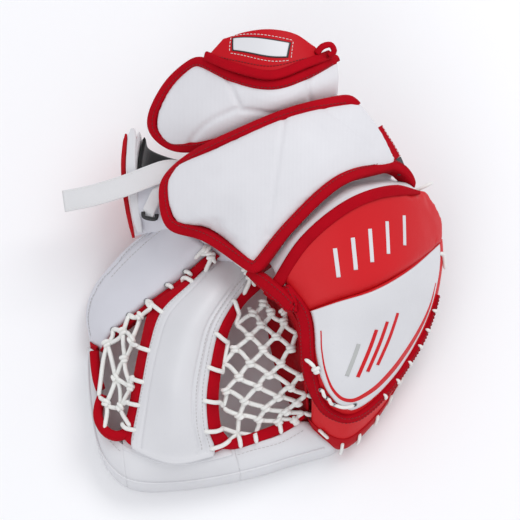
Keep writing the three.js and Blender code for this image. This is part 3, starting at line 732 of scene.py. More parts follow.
WEBBING = tape("webbing", (0.72, 0.72, 0.73), 0.7 * MM, 0.25, (0.95, 1.05))
BLACK_PLASTIC = moulded("black_plastic", (0.018, 0.018, 0.02))
WHITE_THREAD = waxed_lace("white_thread", (0.82, 0.82, 0.80))
GREY_THREAD = waxed_lace("grey_thread", (0.52, 0.51, 0.50))
RED_THREAD = waxed_lace("red_thread", (0.22, 0.003, 0.008))
STEEL = moulded("eyelet_steel", (0.32, 0.32, 0.33), 0.3)
STEEL.node_tree.nodes["Principled BSDF"].inputs["Metallic"].default_value = 1.0


# The slot of each material that is not a slot itself.
SLOTS = {"dark_red_leather": "red_leather", "tab_leather": "red_leather",
         "light_grey_print": "grey_leather", "red_thread": "red_binding",
         "grey_thread": "white_leather", "white_thread": "webbing", "eyelet_steel": "black_plastic"}


def finish_piece(obj, material, body, *nodes, slot=None):
    """Gives a piece its material and its body, and hides the nodes that it stands for; its slot is
    looked up but not kept.
    """
    obj.data.materials.clear()
    obj.data.materials.append(material)
    if body:
        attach(obj, body)
    kind = material.name.split(".")[0]
    slot or SLOTS.get(kind, kind)
    if nodes:
        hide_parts(*nodes)
    return obj


def sewn(name, parts, material, body, *nodes, slot=None):
    """A finished piece from several (points, faces, uv)."""
    return finish_piece(joined_parts(name, parts), material, body, *nodes, slot=slot)


# ---------------------------------------------------------------- camera, light and floor

VIEW_ELEVATION = math.radians(72)
VIEW_DISTANCE = 2200 * SIZE
VIEW_WIDTH = 447 * SIZE
SENSOR = 36.0


def add_camera():
    target = placed([0, 0, 85])
    data = bpy.data.cameras.new("camera")
    data.sensor_width = SENSOR
    data.lens = SENSOR * VIEW_DISTANCE / VIEW_WIDTH
    camera = bpy.data.objects.new("camera", data)
    back = Vector((0, -math.cos(VIEW_ELEVATION), math.sin(VIEW_ELEVATION)))
    camera.location = Vector(target) + back * VIEW_DISTANCE
    camera.rotation_mode = "QUATERNION"
    camera.rotation_quaternion = (-back).to_track_quat("-Z", "Y")
    data.clip_end = 50
    bpy.context.scene.collection.objects.link(camera)
    bpy.context.scene.camera = camera


def add_light(name, location, size, power):
    target = Vector((0, 0, 0.05))
    data = bpy.data.lights.new(name, "AREA")
    data.shape = "DISK"
    data.size = size
    data.energy = power
    light = bpy.data.objects.new(name, data)
    light.location = location
    light.rotation_mode = "QUATERNION"
    light.rotation_quaternion = (target - Vector(location)).to_track_quat("-Z", "Y")
    bpy.context.scene.collection.objects.link(light)


def add_studio():
    world = bpy.data.worlds.new("studio")
    world.use_nodes = True
    background = world.node_tree.nodes["Background"]
    background.inputs["Color"].default_value = (0.95, 0.96, 1.0, 1)
    background.inputs["Strength"].default_value = 0.76
    bpy.context.scene.world = world
    add_light("key", (0.75, 0.8, 1.7), 1.2, 13)
    add_light("fill", (-0.6, -1.4, 1.6), 1.4, 7)
    mesh = bpy.data.meshes.new("floor")
    reach = 6.0
    corners = [(x * reach, y * reach, 0) for x, y in ((-1, -1), (1, -1), (1, 1), (-1, 1))]
    mesh.from_pydata(corners, [], [(0, 1, 2, 3)])
    floor = bpy.data.objects.new("floor", mesh)
    bpy.context.scene.collection.objects.link(floor)
    n = Nodes("floor_paper")
    n.set(Base_Color=(0.93, 0.93, 0.94, 1), Roughness=0.9)
    mesh.materials.append(n.material)
    floor.location.z = -0.0005
    bpy.context.scene.view_settings.view_transform = "Standard"


# ---------------------------------------------------------------- lines and cords on surfaces

def rounded_corners(place, cuts):
    """Rounds a surface's four corners: cuts are shares for (u, v) near 00, 10, 11 and 01."""
    def rounded(u, v, height):
        cut = (cuts[0] * (1 - u) * (1 - v) + cuts[1] * u * (1 - v)
               + cuts[2] * u * v + cuts[3] * (1 - u) * v)
        a, b = 2 * u - 1, 2 * v - 1
        power = (1 - cut) / (2 * cut)
        pull = 1 - cut * np.abs(a * b) ** power
        return place((a * pull + 1) / 2, (b * pull + 1) / 2, height)
    return rounded


def laid_line(place, surface, corners, spacing=1.5 * MM):
    """A smooth line through (u, v, height) places over a surface, and the normals along it."""
    corners = np.asarray(corners, float)
    t = np.linspace(0, 1, (len(corners) - 1) * 14 + 1)
    u, v, height = (weights(len(corners), t) @ corners).T
    line = np.concatenate([place(u, v, height), surface.normal(u, v)], 1)
    line = resampled(line, spacing)
    return line[:, :3], unit(line[:, 3:])


def flat_tape(path, normals, width, thickness, radius):
    """Parts of a flat tape whose middle lies on a line; width may change along it."""
    along = tangents(path)
    sides = unit(np.cross(along, normals))
    ups = unit(np.cross(sides, along))
    flip = np.sign(np.sum(ups * normals, axis=1, keepdims=True))
    widest = float(np.max(width))
    section = rounded_section(widest, thickness, radius)
    points, faces, uv = sweep_parts(path, sides, ups * flip, section)
    narrower = (np.broadcast_to(width, len(path)) / widest - 1)[:, None, None]
    rings = points.reshape(len(path), -1, 3)
    across = np.sum((rings - path[:, None]) * sides[:, None], axis=2, keepdims=True)
    rings = rings + sides[:, None] * across * narrower
    return rings.reshape(-1, 3), faces, uv


def led_in(points, line, normals):
    """A laid line with a few drawn points of its own before it."""
    path = curve_through(np.concatenate([placed(points), line[::5]]), 2 * MM)
    gaps = np.linalg.norm(path[:, None] - line[None], axis=2)
    return path, unit(relaxed(normals[np.argmin(gaps, axis=1)], 12))


def facing(line, way):
    """The same direction at every point of a line."""
    return unit(np.tile(way, (len(line), 1)))


def widths_along(line, shares, widths):
    return np.interp(np.linspace(0, 1, len(line)), shares, widths) * MM


def cord_parts(points, radius):
    """Parts of a round cord through a few points, its ends drawn in to a rounded tip."""
    sides = 10
    path = curve_through(points, 1.6 * MM)
    side, up = turned_frames(path)
    tip = np.ones(len(path))
    tip[[0, -1]] = 0.35
    tip[[1, -2]] = 0.85
    points, faces, uv = sweep_parts(path, side, up, round_section(radius, sides))
    grown = points.reshape(len(path), sides, 3)
    grown = path[:, None] + (grown - path[:, None]) * tip[:, None, None]
    return grown.reshape(-1, 3), faces, uv


def laced(place, surface, run, radius):
    """Parts of a lace through (u, v, height) places over a surface."""
    return cord_parts(laid_line(place, surface, run)[0][::3], radius)


def ring_parts(centre, normal, radius, thickness):
    """Parts of a round ring that lies across a normal."""
    steps = 20
    side = unit(np.cross(normal, [0.3, 0.9, 0.1]))
    other = np.cross(normal, side)
    angle = np.linspace(0, 2 * math.pi, steps, endpoint=False)
    path = centre + radius * (np.cos(angle)[:, None] * side + np.sin(angle)[:, None] * other)
    outs = unit(path - centre)
    ups = np.tile(normal, (steps, 1))
    return sweep_parts(path, outs, ups, round_section(thickness), True)


def eyelets(name, body, place, surface, holes, height, radius):
    """Pressed steel eyelets at (u, v) places over a surface, each filled with a black plug as
    painted shade for its hole.
    """
    rings, shade_plugs = [], []
    for u, v in holes:
        normal = surface.normal([u], [v])[0]
        centre = place(*np.array([[u], [v], [height]]))[0] + normal * 0.3 * MM
        rings.append(ring_parts(centre, normal, radius, 0.55 * MM))
        t = np.linspace(0, 1, 3)[:, None]
        # painted shade: a black plug sunk in each eyelet stands for the dark inside its hole
        shade_plugs.append(tube_parts(centre - normal * (1.2 * MM) + normal * t * 1.3 * MM, radius, 14))
    sewn(name, rings, STEEL, body)
    # the black plugs are painted shade for the eyelet holes
    sewn(f"{name}_hole", shade_plugs, BLACK_PLASTIC, body)


# ---------------------------------------------------------------- back of the hand

def drawn_path(points, obj):
    """A path through drawn (x, y) points, laid down onto the top of a finished piece."""
    raw = curve_through(placed([[x, y, 150] for x, y in points]))
    mesh = obj.data
    tree = kdtree.KDTree(len(mesh.vertices))
    for vertex in mesh.vertices:
        if vertex.normal.z > 0.05:
            tree.insert((vertex.co.x, vertex.co.y, 0), vertex.index)
    tree.balance()
    found = []
    for point in raw:
        near = tree.find_n((point[0], point[1], 0), 4)
        best = max(near, key=lambda hit: mesh.vertices[hit[1]].co.z)
        found.append((point[0], point[1], mesh.vertices[best[1]].co.z))
    return relaxed(found, 2)


# How far the back pad's lower corner lies past its control net.
PAD_CORNER_SHIFT = np.array([-12.0, -6.5, -1.0])


def add_back_pad():
    surface = Surface(BACK_PAD)

    def longer(u, v, height):
        point = above(surface)(u, v * (1.07 + 0.02 * np.sin(np.pi * np.clip(u, 0, 1))), height)
        near = np.clip(1 - u / 0.6, 0, 1) ** 1.5 * np.clip((v - 0.3) / 0.7, 0, 1.1) ** 1.5
        return point + near[..., None] * SIZE * PAD_CORNER_SHIFT

    place = rounded_corners(longer, (0.10, 0.04, 0.012, 0.02))
    pad = panel("back_pad_soft", place, -13 * MM, -0.5 * MM, (0.03, 1.005), (0.03, 0.965),
                60, 50, 9 * MM, 0.0, 5 * MM, 3 * MM)
    swollen(pad, 4.5 * MM)
    long_seam = drawn_path([(21, 104), (17, 75), (12, 40), (6, 2)], pad)
    short_seam = drawn_path([(52, 114), (76, 96), (97, 81)], pad)
    carve(pad, [long_seam], 2.6 * MM, 1.3 * MM)
    carve(pad, [short_seam], 3.0 * MM, 0.8 * MM)
    finish_piece(pad, WHITE_KNIT, "root", "back_pad")
    tail = [[133, 60, 101], [128, 65, 106], [122, 70, 112]]
    add_open_binding("back_pad_edge", surface, place, 11.5 * MM, -14 * MM, 2 * MM, -1.2 * MM, tail,
                     "root", "back_pad_binding")
    liner = panel("hand_lining", above(surface), -17.6 * MM, -15.6 * MM, (0.07, 0.93), (0.08, 0.78),
                  24, 24, 1 * MM)
    finish_piece(liner, LINING, "root", "hand_liner")


def add_open_binding(name, surface, place, width, low, high, inward, tail, body, node):
    """A folded tape sewn round a panel's edge from a tail past one corner of its open side to
    the other corner, thinning out at both ends."""
    t = np.linspace(0, 1, 120)
    ends = np.zeros(len(t))
    u = np.concatenate([1 - t, ends[1:], t[1:], ends[1:8] + 1])
    v = np.concatenate([ends + 1, 1 - t[1:], ends[1:], 0.02 * np.arange(1, 8)])
    line = np.concatenate([place(u, v, np.zeros(u.shape)), surface.normal(u, v)], 1)
    if tail:
        extra = placed(tail)
        line = np.concatenate([np.concatenate([extra, np.tile(line[0, 3:], (len(extra), 1))], 1),
                               line[3:]])
    path = relaxed(resampled(line, 2.0 * MM), 8)
    path, normals = path[:, :3], unit(relaxed(path[:, 3:], 12))
    along = tangents(path)
    inwards = unit(np.cross(normals, along))
    if np.sum((path.mean(0) - path) * inwards) < 0:
        inwards = -inwards
    ups = unit(np.cross(along, inwards))
    if np.sum(ups * normals) < 0:
        ups = -ups
    centres = path + inwards * (width / 2 + inward) + ups * ((low + high) / 2)
    section = rounded_section(width, high - low, 3.5 * MM)
    points, faces, uv = sweep_parts(centres, inwards, ups, section)
    station = np.minimum(np.arange(len(path)), np.arange(len(path))[::-1])
    full = 0.25 + 0.75 * rounding(station, 9)
    rings = points.reshape(len(path), -1, 3)
    heart = (path + ups * (high - 3 * MM))[:, None]
    rings = heart + (rings - heart) * full[:, None, None]
    edge = sewn(name, [(rings.reshape(-1, 3), faces, uv)], RED_TAPE, body, node)
    inner = path + inwards * (width + inward - 2.2 * MM) + ups * (high - 0.1 * MM)
    stitches = stitch_parts(inner[9:-9], ups[9:-9], 2.4 * MM, 1.4 * MM)
    return edge, sewn(f"{name}_stitch", stitches, RED_THREAD, body)


def add_side_walls():
    wall = panel("finger_side_gusset", above(Surface(SIDE_WALL)), -3 * MM, 0, columns=24, rows=24)
    finish_piece(wall, WHITE_KNIT, "root", "side_gusset")
    wall = panel("thumb_side_cover", above(Surface(THUMB_ROOT)), -3 * MM, 0, columns=60, rows=30)
    # thumb-side leather: partly own tone, partly painted shade for a side facing away from the
    # light
    finish_piece(wall, SHADED_GREY_LEATHER, "root", "thumb_side_gusset")


# ---------------------------------------------------------------- wrist

def add_wrist_pad():
    surface = Surface(WRIST_PAD)
    place = rounded_corners(above(surface), (0.06, 0.03, 0.03, 0.10))
    pad = panel("wrist_pad_soft", place, -10 * MM, -0.5 * MM, (0.03, 0.985), (0.05, 0.95),
                60, 40, 8 * MM, 0.0, 4 * MM, 3 * MM)
    swollen(pad, 3.5 * MM)
    seams = [drawn_path(points, pad) for points in (
        [(-30, 148), (-24, 128), (-17, 112)], [(-17, 111), (13, 108), (42, 114)],
        [(-17, 113), (-47, 104), (-68, 89)], [(48, 148), (41, 134), (44, 118)])]
    carve(pad, seams, 3.0 * MM, 2.0 * MM)
    finish_piece(pad, WHITE_KNIT, None, "wrist_pad")
    edges = add_open_binding("wrist_pad_edge", surface, place, 10.5 * MM, -13 * MM, 1.8 * MM,
                             -1.0 * MM, [], None, "wrist_pad_binding")
    for obj in (pad, *edges):
        placed([9, 92, 140])
        placed([2, 120, 140])
        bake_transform(obj)


def add_wrist_tab():
    surface = Surface(WRIST_TAB)
    place = above(surface)
    tab = panel("wrist_tab_leather", place, -5 * MM, 0, columns=50, rows=26, radius=3 * MM)
    finish_piece(tab, TAB_LEATHER, "wrist", "wrist_tab")

    def tilted(u, v, height):
        return place(u - 0.09, v + 0.30 * (u - 0.5) + 0.03, height)

    border = panel("label_border", tilted, -0.2 * MM, 0.9 * MM, label_border, (0.165, 0.565),
                   30, 14, 0.8 * MM)
    finish_piece(border, BLACK_PLASTIC, "wrist", slot="white_leather")
    label = panel("blank_label", tilted, 0.1 * MM, 1.3 * MM, label_outline, (0.19, 0.54),
                  30, 14, 0.8 * MM)
    finish_piece(label, WHITE_LEATHER, "wrist", "label_plate")
    parts = []
    for start, end in (((0.20, 0.10), (0.80, 0.10)), ((0.26, 0.64), (0.74, 0.64)),
                       ((0.20, 0.10), (0.26, 0.64)), ((0.80, 0.10), (0.74, 0.64))):
        row = laid_line(tilted, surface, [(*start, 0.1 * MM), (*end, 0.1 * MM)])
        parts += stitch_parts(*row, 2.2 * MM, 1.3 * MM, 0.32 * MM)
    sewn("label_stitch", parts, WHITE_THREAD, "wrist", slot="white_leather")
    edge = [(u, 0.98, -1 * MM) for u in (-0.02, 0.12, 0.3, 0.5, 0.7, 0.88, 1.0)]
    band = flat_tape(*laid_line(place, surface, edge), 9 * MM, 6 * MM, 2.4 * MM)
    sewn("wrist_tab_band", [band], RED_TAPE, "wrist")
    seam = [(u, 0.80, 0.3 * MM) for u in (0.03, 0.2, 0.35, 0.5, 0.65, 0.8, 0.95)]
    row = stitch_parts(*laid_line(place, surface, seam), 2.0 * MM, 1.2 * MM)
    sewn("wrist_tab_stitch", row, RED_THREAD, "wrist")
    end = placed([[48, 158, 166], [53, 163, 169], [60, 165, 168], [63, 160, 165], [58, 157, 164]])
    loop = tube_parts(curve_through(end), 3.2 * MM, 10, 0.7)
    sewn("wrist_end_loop", [loop], RED_TAPE, "wrist")


def label_outline(v):
    share = (v - 0.19) / 0.35
    return 0.24 + 0.045 * share, 0.76 - 0.045 * share


def label_border(v):
    start, end = label_outline(v)
    return start - 0.014, end + 0.014


# ---------------------------------------------------------------- cuff and heel

def grounded(place, floor):
    def held(u, v, height):
        points = place(u, v, height)
        points[..., 2] = np.maximum(points[..., 2], floor)
        return points
    return held


def add_cuff():
    place = above(Surface(CUFF))
    for name, low, high, inset, material, node in (
            ("cuff_leather", 0.0, 2.4, 0.02, RED_LEATHER, "cuff_outer"),
            ("cuff_shell", 3.45, 6.65, 0.0, BOARD, "cuff_board"),
            ("cuff_lining_cloth", 7.7, 11.3, 0.03, LINING, "cuff_lining")):
        obj = panel(name, grounded(place, low * MM), low * MM, high * MM, (inset, 1 - inset),
                    (inset / 2, 1), 90, 30, 1.2 * MM)
        finish_piece(obj, material, "root", node)
    for name, points, widths, material in (
            ("cuff_rim", CUFF_RIM, (4, 9, 9.5, 9, 8, 5), WHITE_LEATHER),
            ("cuff_strip", CUFF_STRIP, (2, 5, 5, 5, 4, 2.5), DARK_RED_LEATHER)):
        line = curve_through(placed(points), 2 * MM)
        width = widths_along(line, [0, 0.07, 0.3, 0.6, 0.9, 1], widths)
        strip = flat_tape(line, facing(line, [-0.3, 0.0, 1.0]), width, 3 * MM, 1.4 * MM)
        sewn(name, [strip], material, "root")


def add_heel():
    place = above(Surface(HEEL))
    obj = panel("heel_leather", place, -3 * MM, 0, columns=40, rows=30)
    finish_piece(obj, PALM_LEATHER, "root", "palm_heel")
    obj = panel("heel_foam", place, 1.05 * MM, 7.05 * MM, (0.04, 0.96), (0.05, 0.95), 30, 24)
    finish_piece(obj, FOAM, "root", "palm_foam")


# ---------------------------------------------------------------- thumb

def thumb_edge(v):
    """Where the thumb's leather ends on its inner side."""
    return float(np.interp(v, [0, 0.28, 0.45, 0.67, 0.82, 1], [1.05, 1.05, 0.99, 0.94, 0.87, 0.84]))


def add_thumb():
    surface = Surface(THUMB_BACK)
    place = between(Surface(THUMB_PALM), surface)
    shell = panel("thumb_cover", place, 0.2, 1.0, lambda v: (0, thumb_edge(v)), (0, 1),
                  70, 80, 9 * MM, 0.0, 0.3, 0.1)
    rims = [laid_line(place, surface, [(u, v, 1) for v in stations])[0]
            for u, stations in ((0.08, (0.04, 0.2, 0.35, 0.52, 0.7, 0.85, 0.96)),
                                (0.17, (0.04, 0.2, 0.35, 0.5)))]
    carve(shell, [settled(shell, rims[0], 4 * MM)[0]], 1.3 * MM, 1.3 * MM)
    # thumb leather: partly own tone, partly painted shade for a side facing away from the light
    finish_piece(shell, SHADED_GREY_LEATHER, "root", "thumb_shell", "thumb_core")
    parts = []
    for rim in rims:
        parts += stitch_parts(*settled(shell, rim, 4 * MM), 2.6 * MM, 1.2 * MM, 0.35 * MM)
    sewn("thumb_stitch", parts, GREY_THREAD, "root", slot="grey_leather")
    palm = panel("thumb_palm_leather", place, 0.0, 0.18, (0, 0.93), (0, 1),
                 30, 50, 2 * MM, 0, 0.05)
    finish_piece(palm, PALM_LEATHER, "root", "thumb_palm")
    edge = panel("thumb_edge", place, 0.25, 1.02,
                 lambda v: (thumb_edge(v) - 0.01, thumb_edge(v) + 0.145), (0.03, 1.02),
                 14, 90, 3 * MM, 0, 0.12)
    finish_piece(edge, RED_TAPE, "root", "thumb_binding")
    tip = panel("thumb_tip_tab", place, 0.2, 1.1, (0.1, 0.62), (0.985, 1.09),
                24, 12, 1.6 * MM, 0, 0.1)
    finish_piece(tip, RED_TAPE, "root")
    return place, surface


# ---------------------------------------------------------------- fingers

def turned(points, degrees):
    """Points turned about the break line under the knuckles."""
    joint = JOINTS["glove_close"]
    start, axis = np.array(joint["pos_m"]), unit(np.array(joint["axis"], float))
    angle = math.radians(degrees)
    p = points - start
    return (start + p * math.cos(angle) + np.cross(axis, p) * math.sin(angle)
            + axis * (p @ axis)[:, None] * (1 - math.cos(angle)))


def add_gusset():
    line, roll = placed(KNUCKLE_LINE), placed(FINGER_BACK[0])
    rows = [turned(line, -44), turned(line, -22), line]
    rows += [line + (roll - line) * share + np.array([0, 0, lift * MM])
             for share, lift in ((0.45, 9), (0.86, 2))]
    surface = Surface(rows, drawn=False)
    obj = panel("knuckle_fold", above(surface), -2.4 * MM, 0, (0.03, 0.985), (0, 1), 50, 50, 1 * MM)
    finish_piece(obj, WHITE_LEATHER, "fingers", "knuckle_gusset")


PLATE_TOP, PLATE_END = 0.25, 0.812
PLATE_LEFT = ([0.25, 0.40, 0.55, 0.67, 0.75, 0.79, 0.812],
              [0.085, 0.088, 0.10, 0.14, 0.23, 0.33, 0.45])
PLATE_RIGHT = ([0.25, 0.45, 0.60, 0.70, 0.77, 0.80, 0.812],
               [0.99, 0.985, 0.965, 0.93, 0.87, 0.80, 0.70])


def plate_outline(v):
    return float(smooth_table(v, *PLATE_LEFT)), float(smooth_table(v, *PLATE_RIGHT))


def roll_outline(v):
    return 0.06, 1.0 + 0.04 * math.sin(math.pi * np.clip((v + 0.035) / 0.275, 0, 1)) ** 0.8


def rim_outline(v):
    return 0.07 * np.clip((v - 0.95) / 0.06, 0, 1) ** 2, 1.0


def smooth_table(v, places, values):
    """A smooth curve through a short table."""
    places, values = np.asarray(places), np.asarray(values)
    slopes = np.gradient(values, places)
    k = int(np.clip(np.searchsorted(places, v) - 1, 0, len(places) - 2))
    span = places[k + 1] - places[k]
    t = np.clip((v - places[k]) / span, 0, 1)
    return ((2 * t**3 - 3 * t**2 + 1) * values[k] + (t**3 - 2 * t**2 + t) * span * slopes[k]
            + (3 * t**2 - 2 * t**3) * values[k + 1] + (t**3 - t**2) * span * slopes[k + 1])


def add_fingers():
    upper = Surface(FINGER_BACK)
    place = between(Surface(FINGER_PALM), upper)
    roll = panel("knuckle_roll_soft", place, 0.70, 0.985, roll_outline, (-0.035, 0.24), 60, 26,
                 7 * MM, 0.0, 0.13, 0.05)
    swollen(roll, 3.5 * MM, 3.2 * MM)
    finish_piece(roll, RED_LEATHER, "fingers", "knuckle_roll")
    shell = panel("finger_cover", place, 0.66, 0.97, (0.05, 1.018), (0.235, 0.97),
                  50, 50, 5 * MM, 0, 0.08, 0.04)
    finish_piece(shell, RED_LEATHER, "fingers", "finger_shell", "finger_foam")
    plate = panel("finger_plate_cover", place, 0.955, 1.045, plate_outline,
                  (PLATE_TOP, PLATE_END), 80, 80, 2.2 * MM, 0.02, 0.05, 0.01)
    finish_piece(plate, WHITE_LEATHER, "fingers", "finger_plate")
    palm = panel("finger_palm_leather", place, 0, 0.16, (0.0, 1), (0, 0.93),
                 40, 50, 3 * MM, 0, 0.06)
    finish_piece(palm, PALM_LEATHER, "fingers", "finger_palm")
    add_finger_edges(place, upper)
    add_marks(place, upper, roll, plate)


BAND_START = [[-9, -21, 120], [3, -31, 122], [17, -43, 121], [27, -52, 118]]


def add_finger_edges(place, surface):
    left = [(0.035, v, 0.98) for v in (0.05, 0.18, 0.3, 0.42, 0.55)]
    foot = [(0.05, 0.67, 0.98), (0.10, 0.76, 0.97), (0.19, 0.82, 0.97), (0.33, 0.843, 0.97),
            (0.50, 0.848, 0.97), (0.68, 0.845, 0.97), (0.82, 0.83, 0.96), (0.91, 0.785, 0.93),
            (0.96, 0.73, 0.88), (0.984, 0.62, 0.84), (0.994, 0.50, 0.80)]
    line, normals = led_in(BAND_START, *laid_line(place, surface, left + foot, 2 * MM))
    width = widths_along(line, [0, 0.04, 0.44, 0.6, 0.84, 1], [9, 14, 14, 9, 8, 3])
    band = flat_tape(line, normals, width, 9 * MM, 3 * MM)
    sewn("finger_edge", [band], RED_TAPE, "fingers", "finger_edge_binding")
    side = unit(np.cross(tangents(line), normals))
    rows = double_row(line + normals * 4.5 * MM, side * (width * 0.33)[:, None], normals,
                      2.2 * MM, 1.3 * MM)
    sewn("finger_edge_stitch", rows, RED_THREAD, "fingers")
    add_edge_lacing(line, normals, side)
    arc = [(u, -0.008 - 0.012 * math.sin(math.pi * u), 0.98)
           for u in (-0.05, 0.03, 0.15, 0.3, 0.5, 0.7, 0.86, 0.93)]
    line, normals = laid_line(place, surface, arc, 2 * MM)
    width = widths_along(line, [0, 0.85, 1], [12, 11, 4])
    sewn("roll_edge", [flat_tape(line, normals, width, 8 * MM, 3 * MM)], RED_TAPE, "fingers")
    accent = [(0.13, 0.38), (0.135, 0.50), (0.16, 0.61), (0.22, 0.70), (0.31, 0.75), (0.42, 0.765),
              (0.54, 0.76), (0.68, 0.755), (0.80, 0.725), (0.89, 0.66), (0.945, 0.56),
              (0.965, 0.44)]
    line, normals = laid_line(place, surface, [(u, v, 1.045) for u, v in accent])
    share = np.linspace(0, 1, len(line))
    width = (1.3 + 7.5 * np.sin(np.pi * share**1.6) ** 1.5) * MM
    stripe = flat_tape(line, normals, width, 0.7 * MM, 0.3 * MM)
    sewn("plate_stripe", [stripe], RED_LEATHER, "fingers")
    rim = panel("finger_rim_leather", place, 0, 1.05, rim_outline, (0.95, 1.01),
                110, 16, 5 * MM, 0, 0.25)
    finish_piece(rim, DARK_RED_LEATHER, "fingers", "finger_rim")
    add_pocket_wall()


def add_edge_lacing(line, normals, side):
    """Laces over the binding on the free side of the fingers."""
    parts = []
    for share in (0.70, 0.755, 0.81, 0.86, 0.91, 0.96):
        k = int(share * (len(line) - 1))
        run = [(-3.6, 2.5), (-2.4, 5.3), (1.6, 5.0), (4.2, 1.5), (4.6, -4.0)]
        points = [line[k] + side[k] * out * MM + normals[k] * up * MM for out, up in run]
        parts.append(cord_parts(np.array(points), 1.7 * MM))
    sewn("finger_edge_lacing", parts, LACE, "fingers")


def add_pocket_wall():
    """The red side of the finger section that the net is laced to, inside the pocket."""
    edge = placed([row[0] for row in FINGER_PALM])
    upper = placed([row[0] for row in FINGER_BACK])
    into = np.array([-27.0, 2.0, -17.0]) * MM
    reach = np.array([0.3, 1.0, 1.0, 0.7, 0.3])[:, None]
    rows = [edge + into * reach, edge * 0.75 + upper * 0.25 + into * 0.35 * reach,
            edge * 0.4 + upper * 0.6]
    wall = Surface(np.array(rows).transpose(1, 0, 2), drawn=False)
    obj = panel("pocket_wall", above(wall), -1.5 * MM, 1.5 * MM, (0, 1), (0, 0.97),
                20, 50, 1.2 * MM)
    finish_piece(obj, DARK_RED_LEATHER, "fingers")


# Each bar runs from one (u, v) place to another.
PLATE_BARS = [(0.43 + 0.075 * k, 0.66 - 0.01 * k, 0.50 + 0.075 * k, 0.46 - 0.02 * k)
              for k in range(3)]
ROLL_BARS = [(0.32 + 0.108 * k, 0.165, 0.365 + 0.108 * k, 0.075) for k in range(5)]


def add_marks(place, surface, roll, plate):
    """Plain slanted bars: printed trim with no lettering."""
    for name, material, onto, bars in (
            ("plate_bars", RED_LEATHER, plate, PLATE_BARS),
            ("plate_grey_bar", LIGHT_GREY, plate, [(0.335, 0.645, 0.385, 0.50)]),
            ("roll_bars", WHITE_LEATHER, roll, ROLL_BARS)):
        parts = []
        for u0, v0, u1, v1 in bars:
            line = laid_line(place, surface, [(u0, v0, 1.0), (u1, v1, 1.0)])[0]
            parts.append(flat_tape(*settled(onto, line, 3 * MM), 4.0 * MM, 1.0 * MM, 0.4 * MM))
        sewn(name, parts, material, "fingers")


# ---------------------------------------------------------------- pocket

STEM_COVER = STEM[:-1] + [
    [[-118, -139, 44], [-109, -150, 47], [-75, -163, 51.5], [-41, -157, 49.5], [-26, -149, 45]],
    [[-119, -145, 41], [-108, -158, 45], [-75, -171, 49.5], [-42, -165, 47.5], [-25, -157, 42]],
]
STEM_SEAMS = (0.31, 0.655, 0.705)
STEM_STITCHES = (0.245, 0.68, 0.735)


def add_stem():
    surface = Surface(STEM_COVER)
    place = above(surface)
    shaped = rounded_corners(place, (0.02, 0.02, 0.12, 0.12))
    cover = panel("stem_cover", shaped, -11 * MM, 1.5 * MM, (0.23, 0.78), (0, 1.0),
                  90, 110, 4 * MM, 0, 2.5 * MM)
    seams = [laid_line(place, surface, [(u, v, 0) for v in (0.02, 0.2, 0.4, 0.6, 0.8, 0.9)])[0]
             for u in STEM_SEAMS + STEM_STITCHES]
    for seam in seams[:3]:
        carve(cover, [settled(cover, seam, 4 * MM)[0]], 1.3 * MM, 1.5 * MM)
    finish_piece(cover, WHITE_LEATHER, "pocket", "stem", "stem_core")
    parts = []
    for seam in seams[3:]:
        parts += stitch_parts(*settled(cover, seam, 4 * MM), 2.4 * MM, 1.4 * MM, 0.32 * MM)
    sewn("stem_stitch", parts, GREY_THREAD, "pocket")
    for side, span in (("left", (0.0, 0.235)), ("right", (0.775, 1.0))):
        edge = panel(f"stem_edge_{side}", place, -12 * MM, 1.8 * MM, span, (0, 0.93),
                     16, 110, 3 * MM)
        finish_piece(edge, RED_TAPE, "pocket", f"stem_binding_{side}")
    return place


def filleted(points, radii):
    """Rounds each corner of a run of closed sections; points are (station, corner, xyz)."""
    radii = np.asarray(radii)[None, :, None]

    def towards(shift):
        way = np.roll(points, shift, axis=1) - points
        reach = np.minimum(radii, np.linalg.norm(way, axis=2, keepdims=True) * 0.48)
        return points + unit(way) * reach

    start, end = towards(1), towards(-1)
    rings = [start * (1 - t) ** 2 + points * 2 * t * (1 - t) + end * t**2
             for t in np.linspace(0, 1, 5)]
    return np.stack(rings, 2).reshape(points.shape[0], -1, 3)


def swept_sections(sections):
    """Points, faces and uv of a body through sections given as points."""
    centres = sections.mean(1)
    _, faces, uv = sweep_parts(centres, unit(sections[:, 0] - centres),
                               unit(sections[:, 1] - centres), np.zeros((sections.shape[1], 2)))
    girth = np.linalg.norm(np.diff(sections[0], axis=0, append=sections[0][:1]), axis=1)
    round_it = np.concatenate([[0], np.cumsum(girth)])
    around = sections.shape[1]
    for j in range(len(sections) - 1):
        for i in range(around):
            k = 4 * (j * around + i)
            for corner, step in zip(range(4), (0, 1, 1, 0)):
                uv[k + corner] = (uv[k + corner][0], round_it[i + step])
    return sections.reshape(-1, 3), faces, uv


BAR_COLUMNS = len(BAR[0]) - 1


def bar_sections(surface, start, end):
    """The bar's angle section: a sloping top, a rolled outer edge and a wall on the ground.
    The top goes on inwards by `under`, beneath what is sewn to it."""
    under = 4 * MM
    u = np.linspace(start, end, 60) / BAR_COLUMNS
    seam, outer = surface.at(u, 0.5), surface.at(u, 1)
    flat = np.array([1, 1, 0])
    inward = unit((seam - outer) * flat)
    foot = outer * flat
    heel = foot + inward * 12 * MM
    corner = heel * flat + np.array([0, 0, 1]) * (outer[:, 2:] - 12 * MM)
    inner = seam + inward * under - np.array([0, 0, 0.1 * under])
    below = inner - np.array([0, 0, 10 * MM])
    crown = (seam + outer) / 2 + np.array([0, 0, 2.5 * MM])
    sections = np.stack([inner, crown, outer, foot, heel, corner, below], 1)
    return filleted(sections, np.array([2, 10, 7, 3, 3, 3, 2]) * MM)


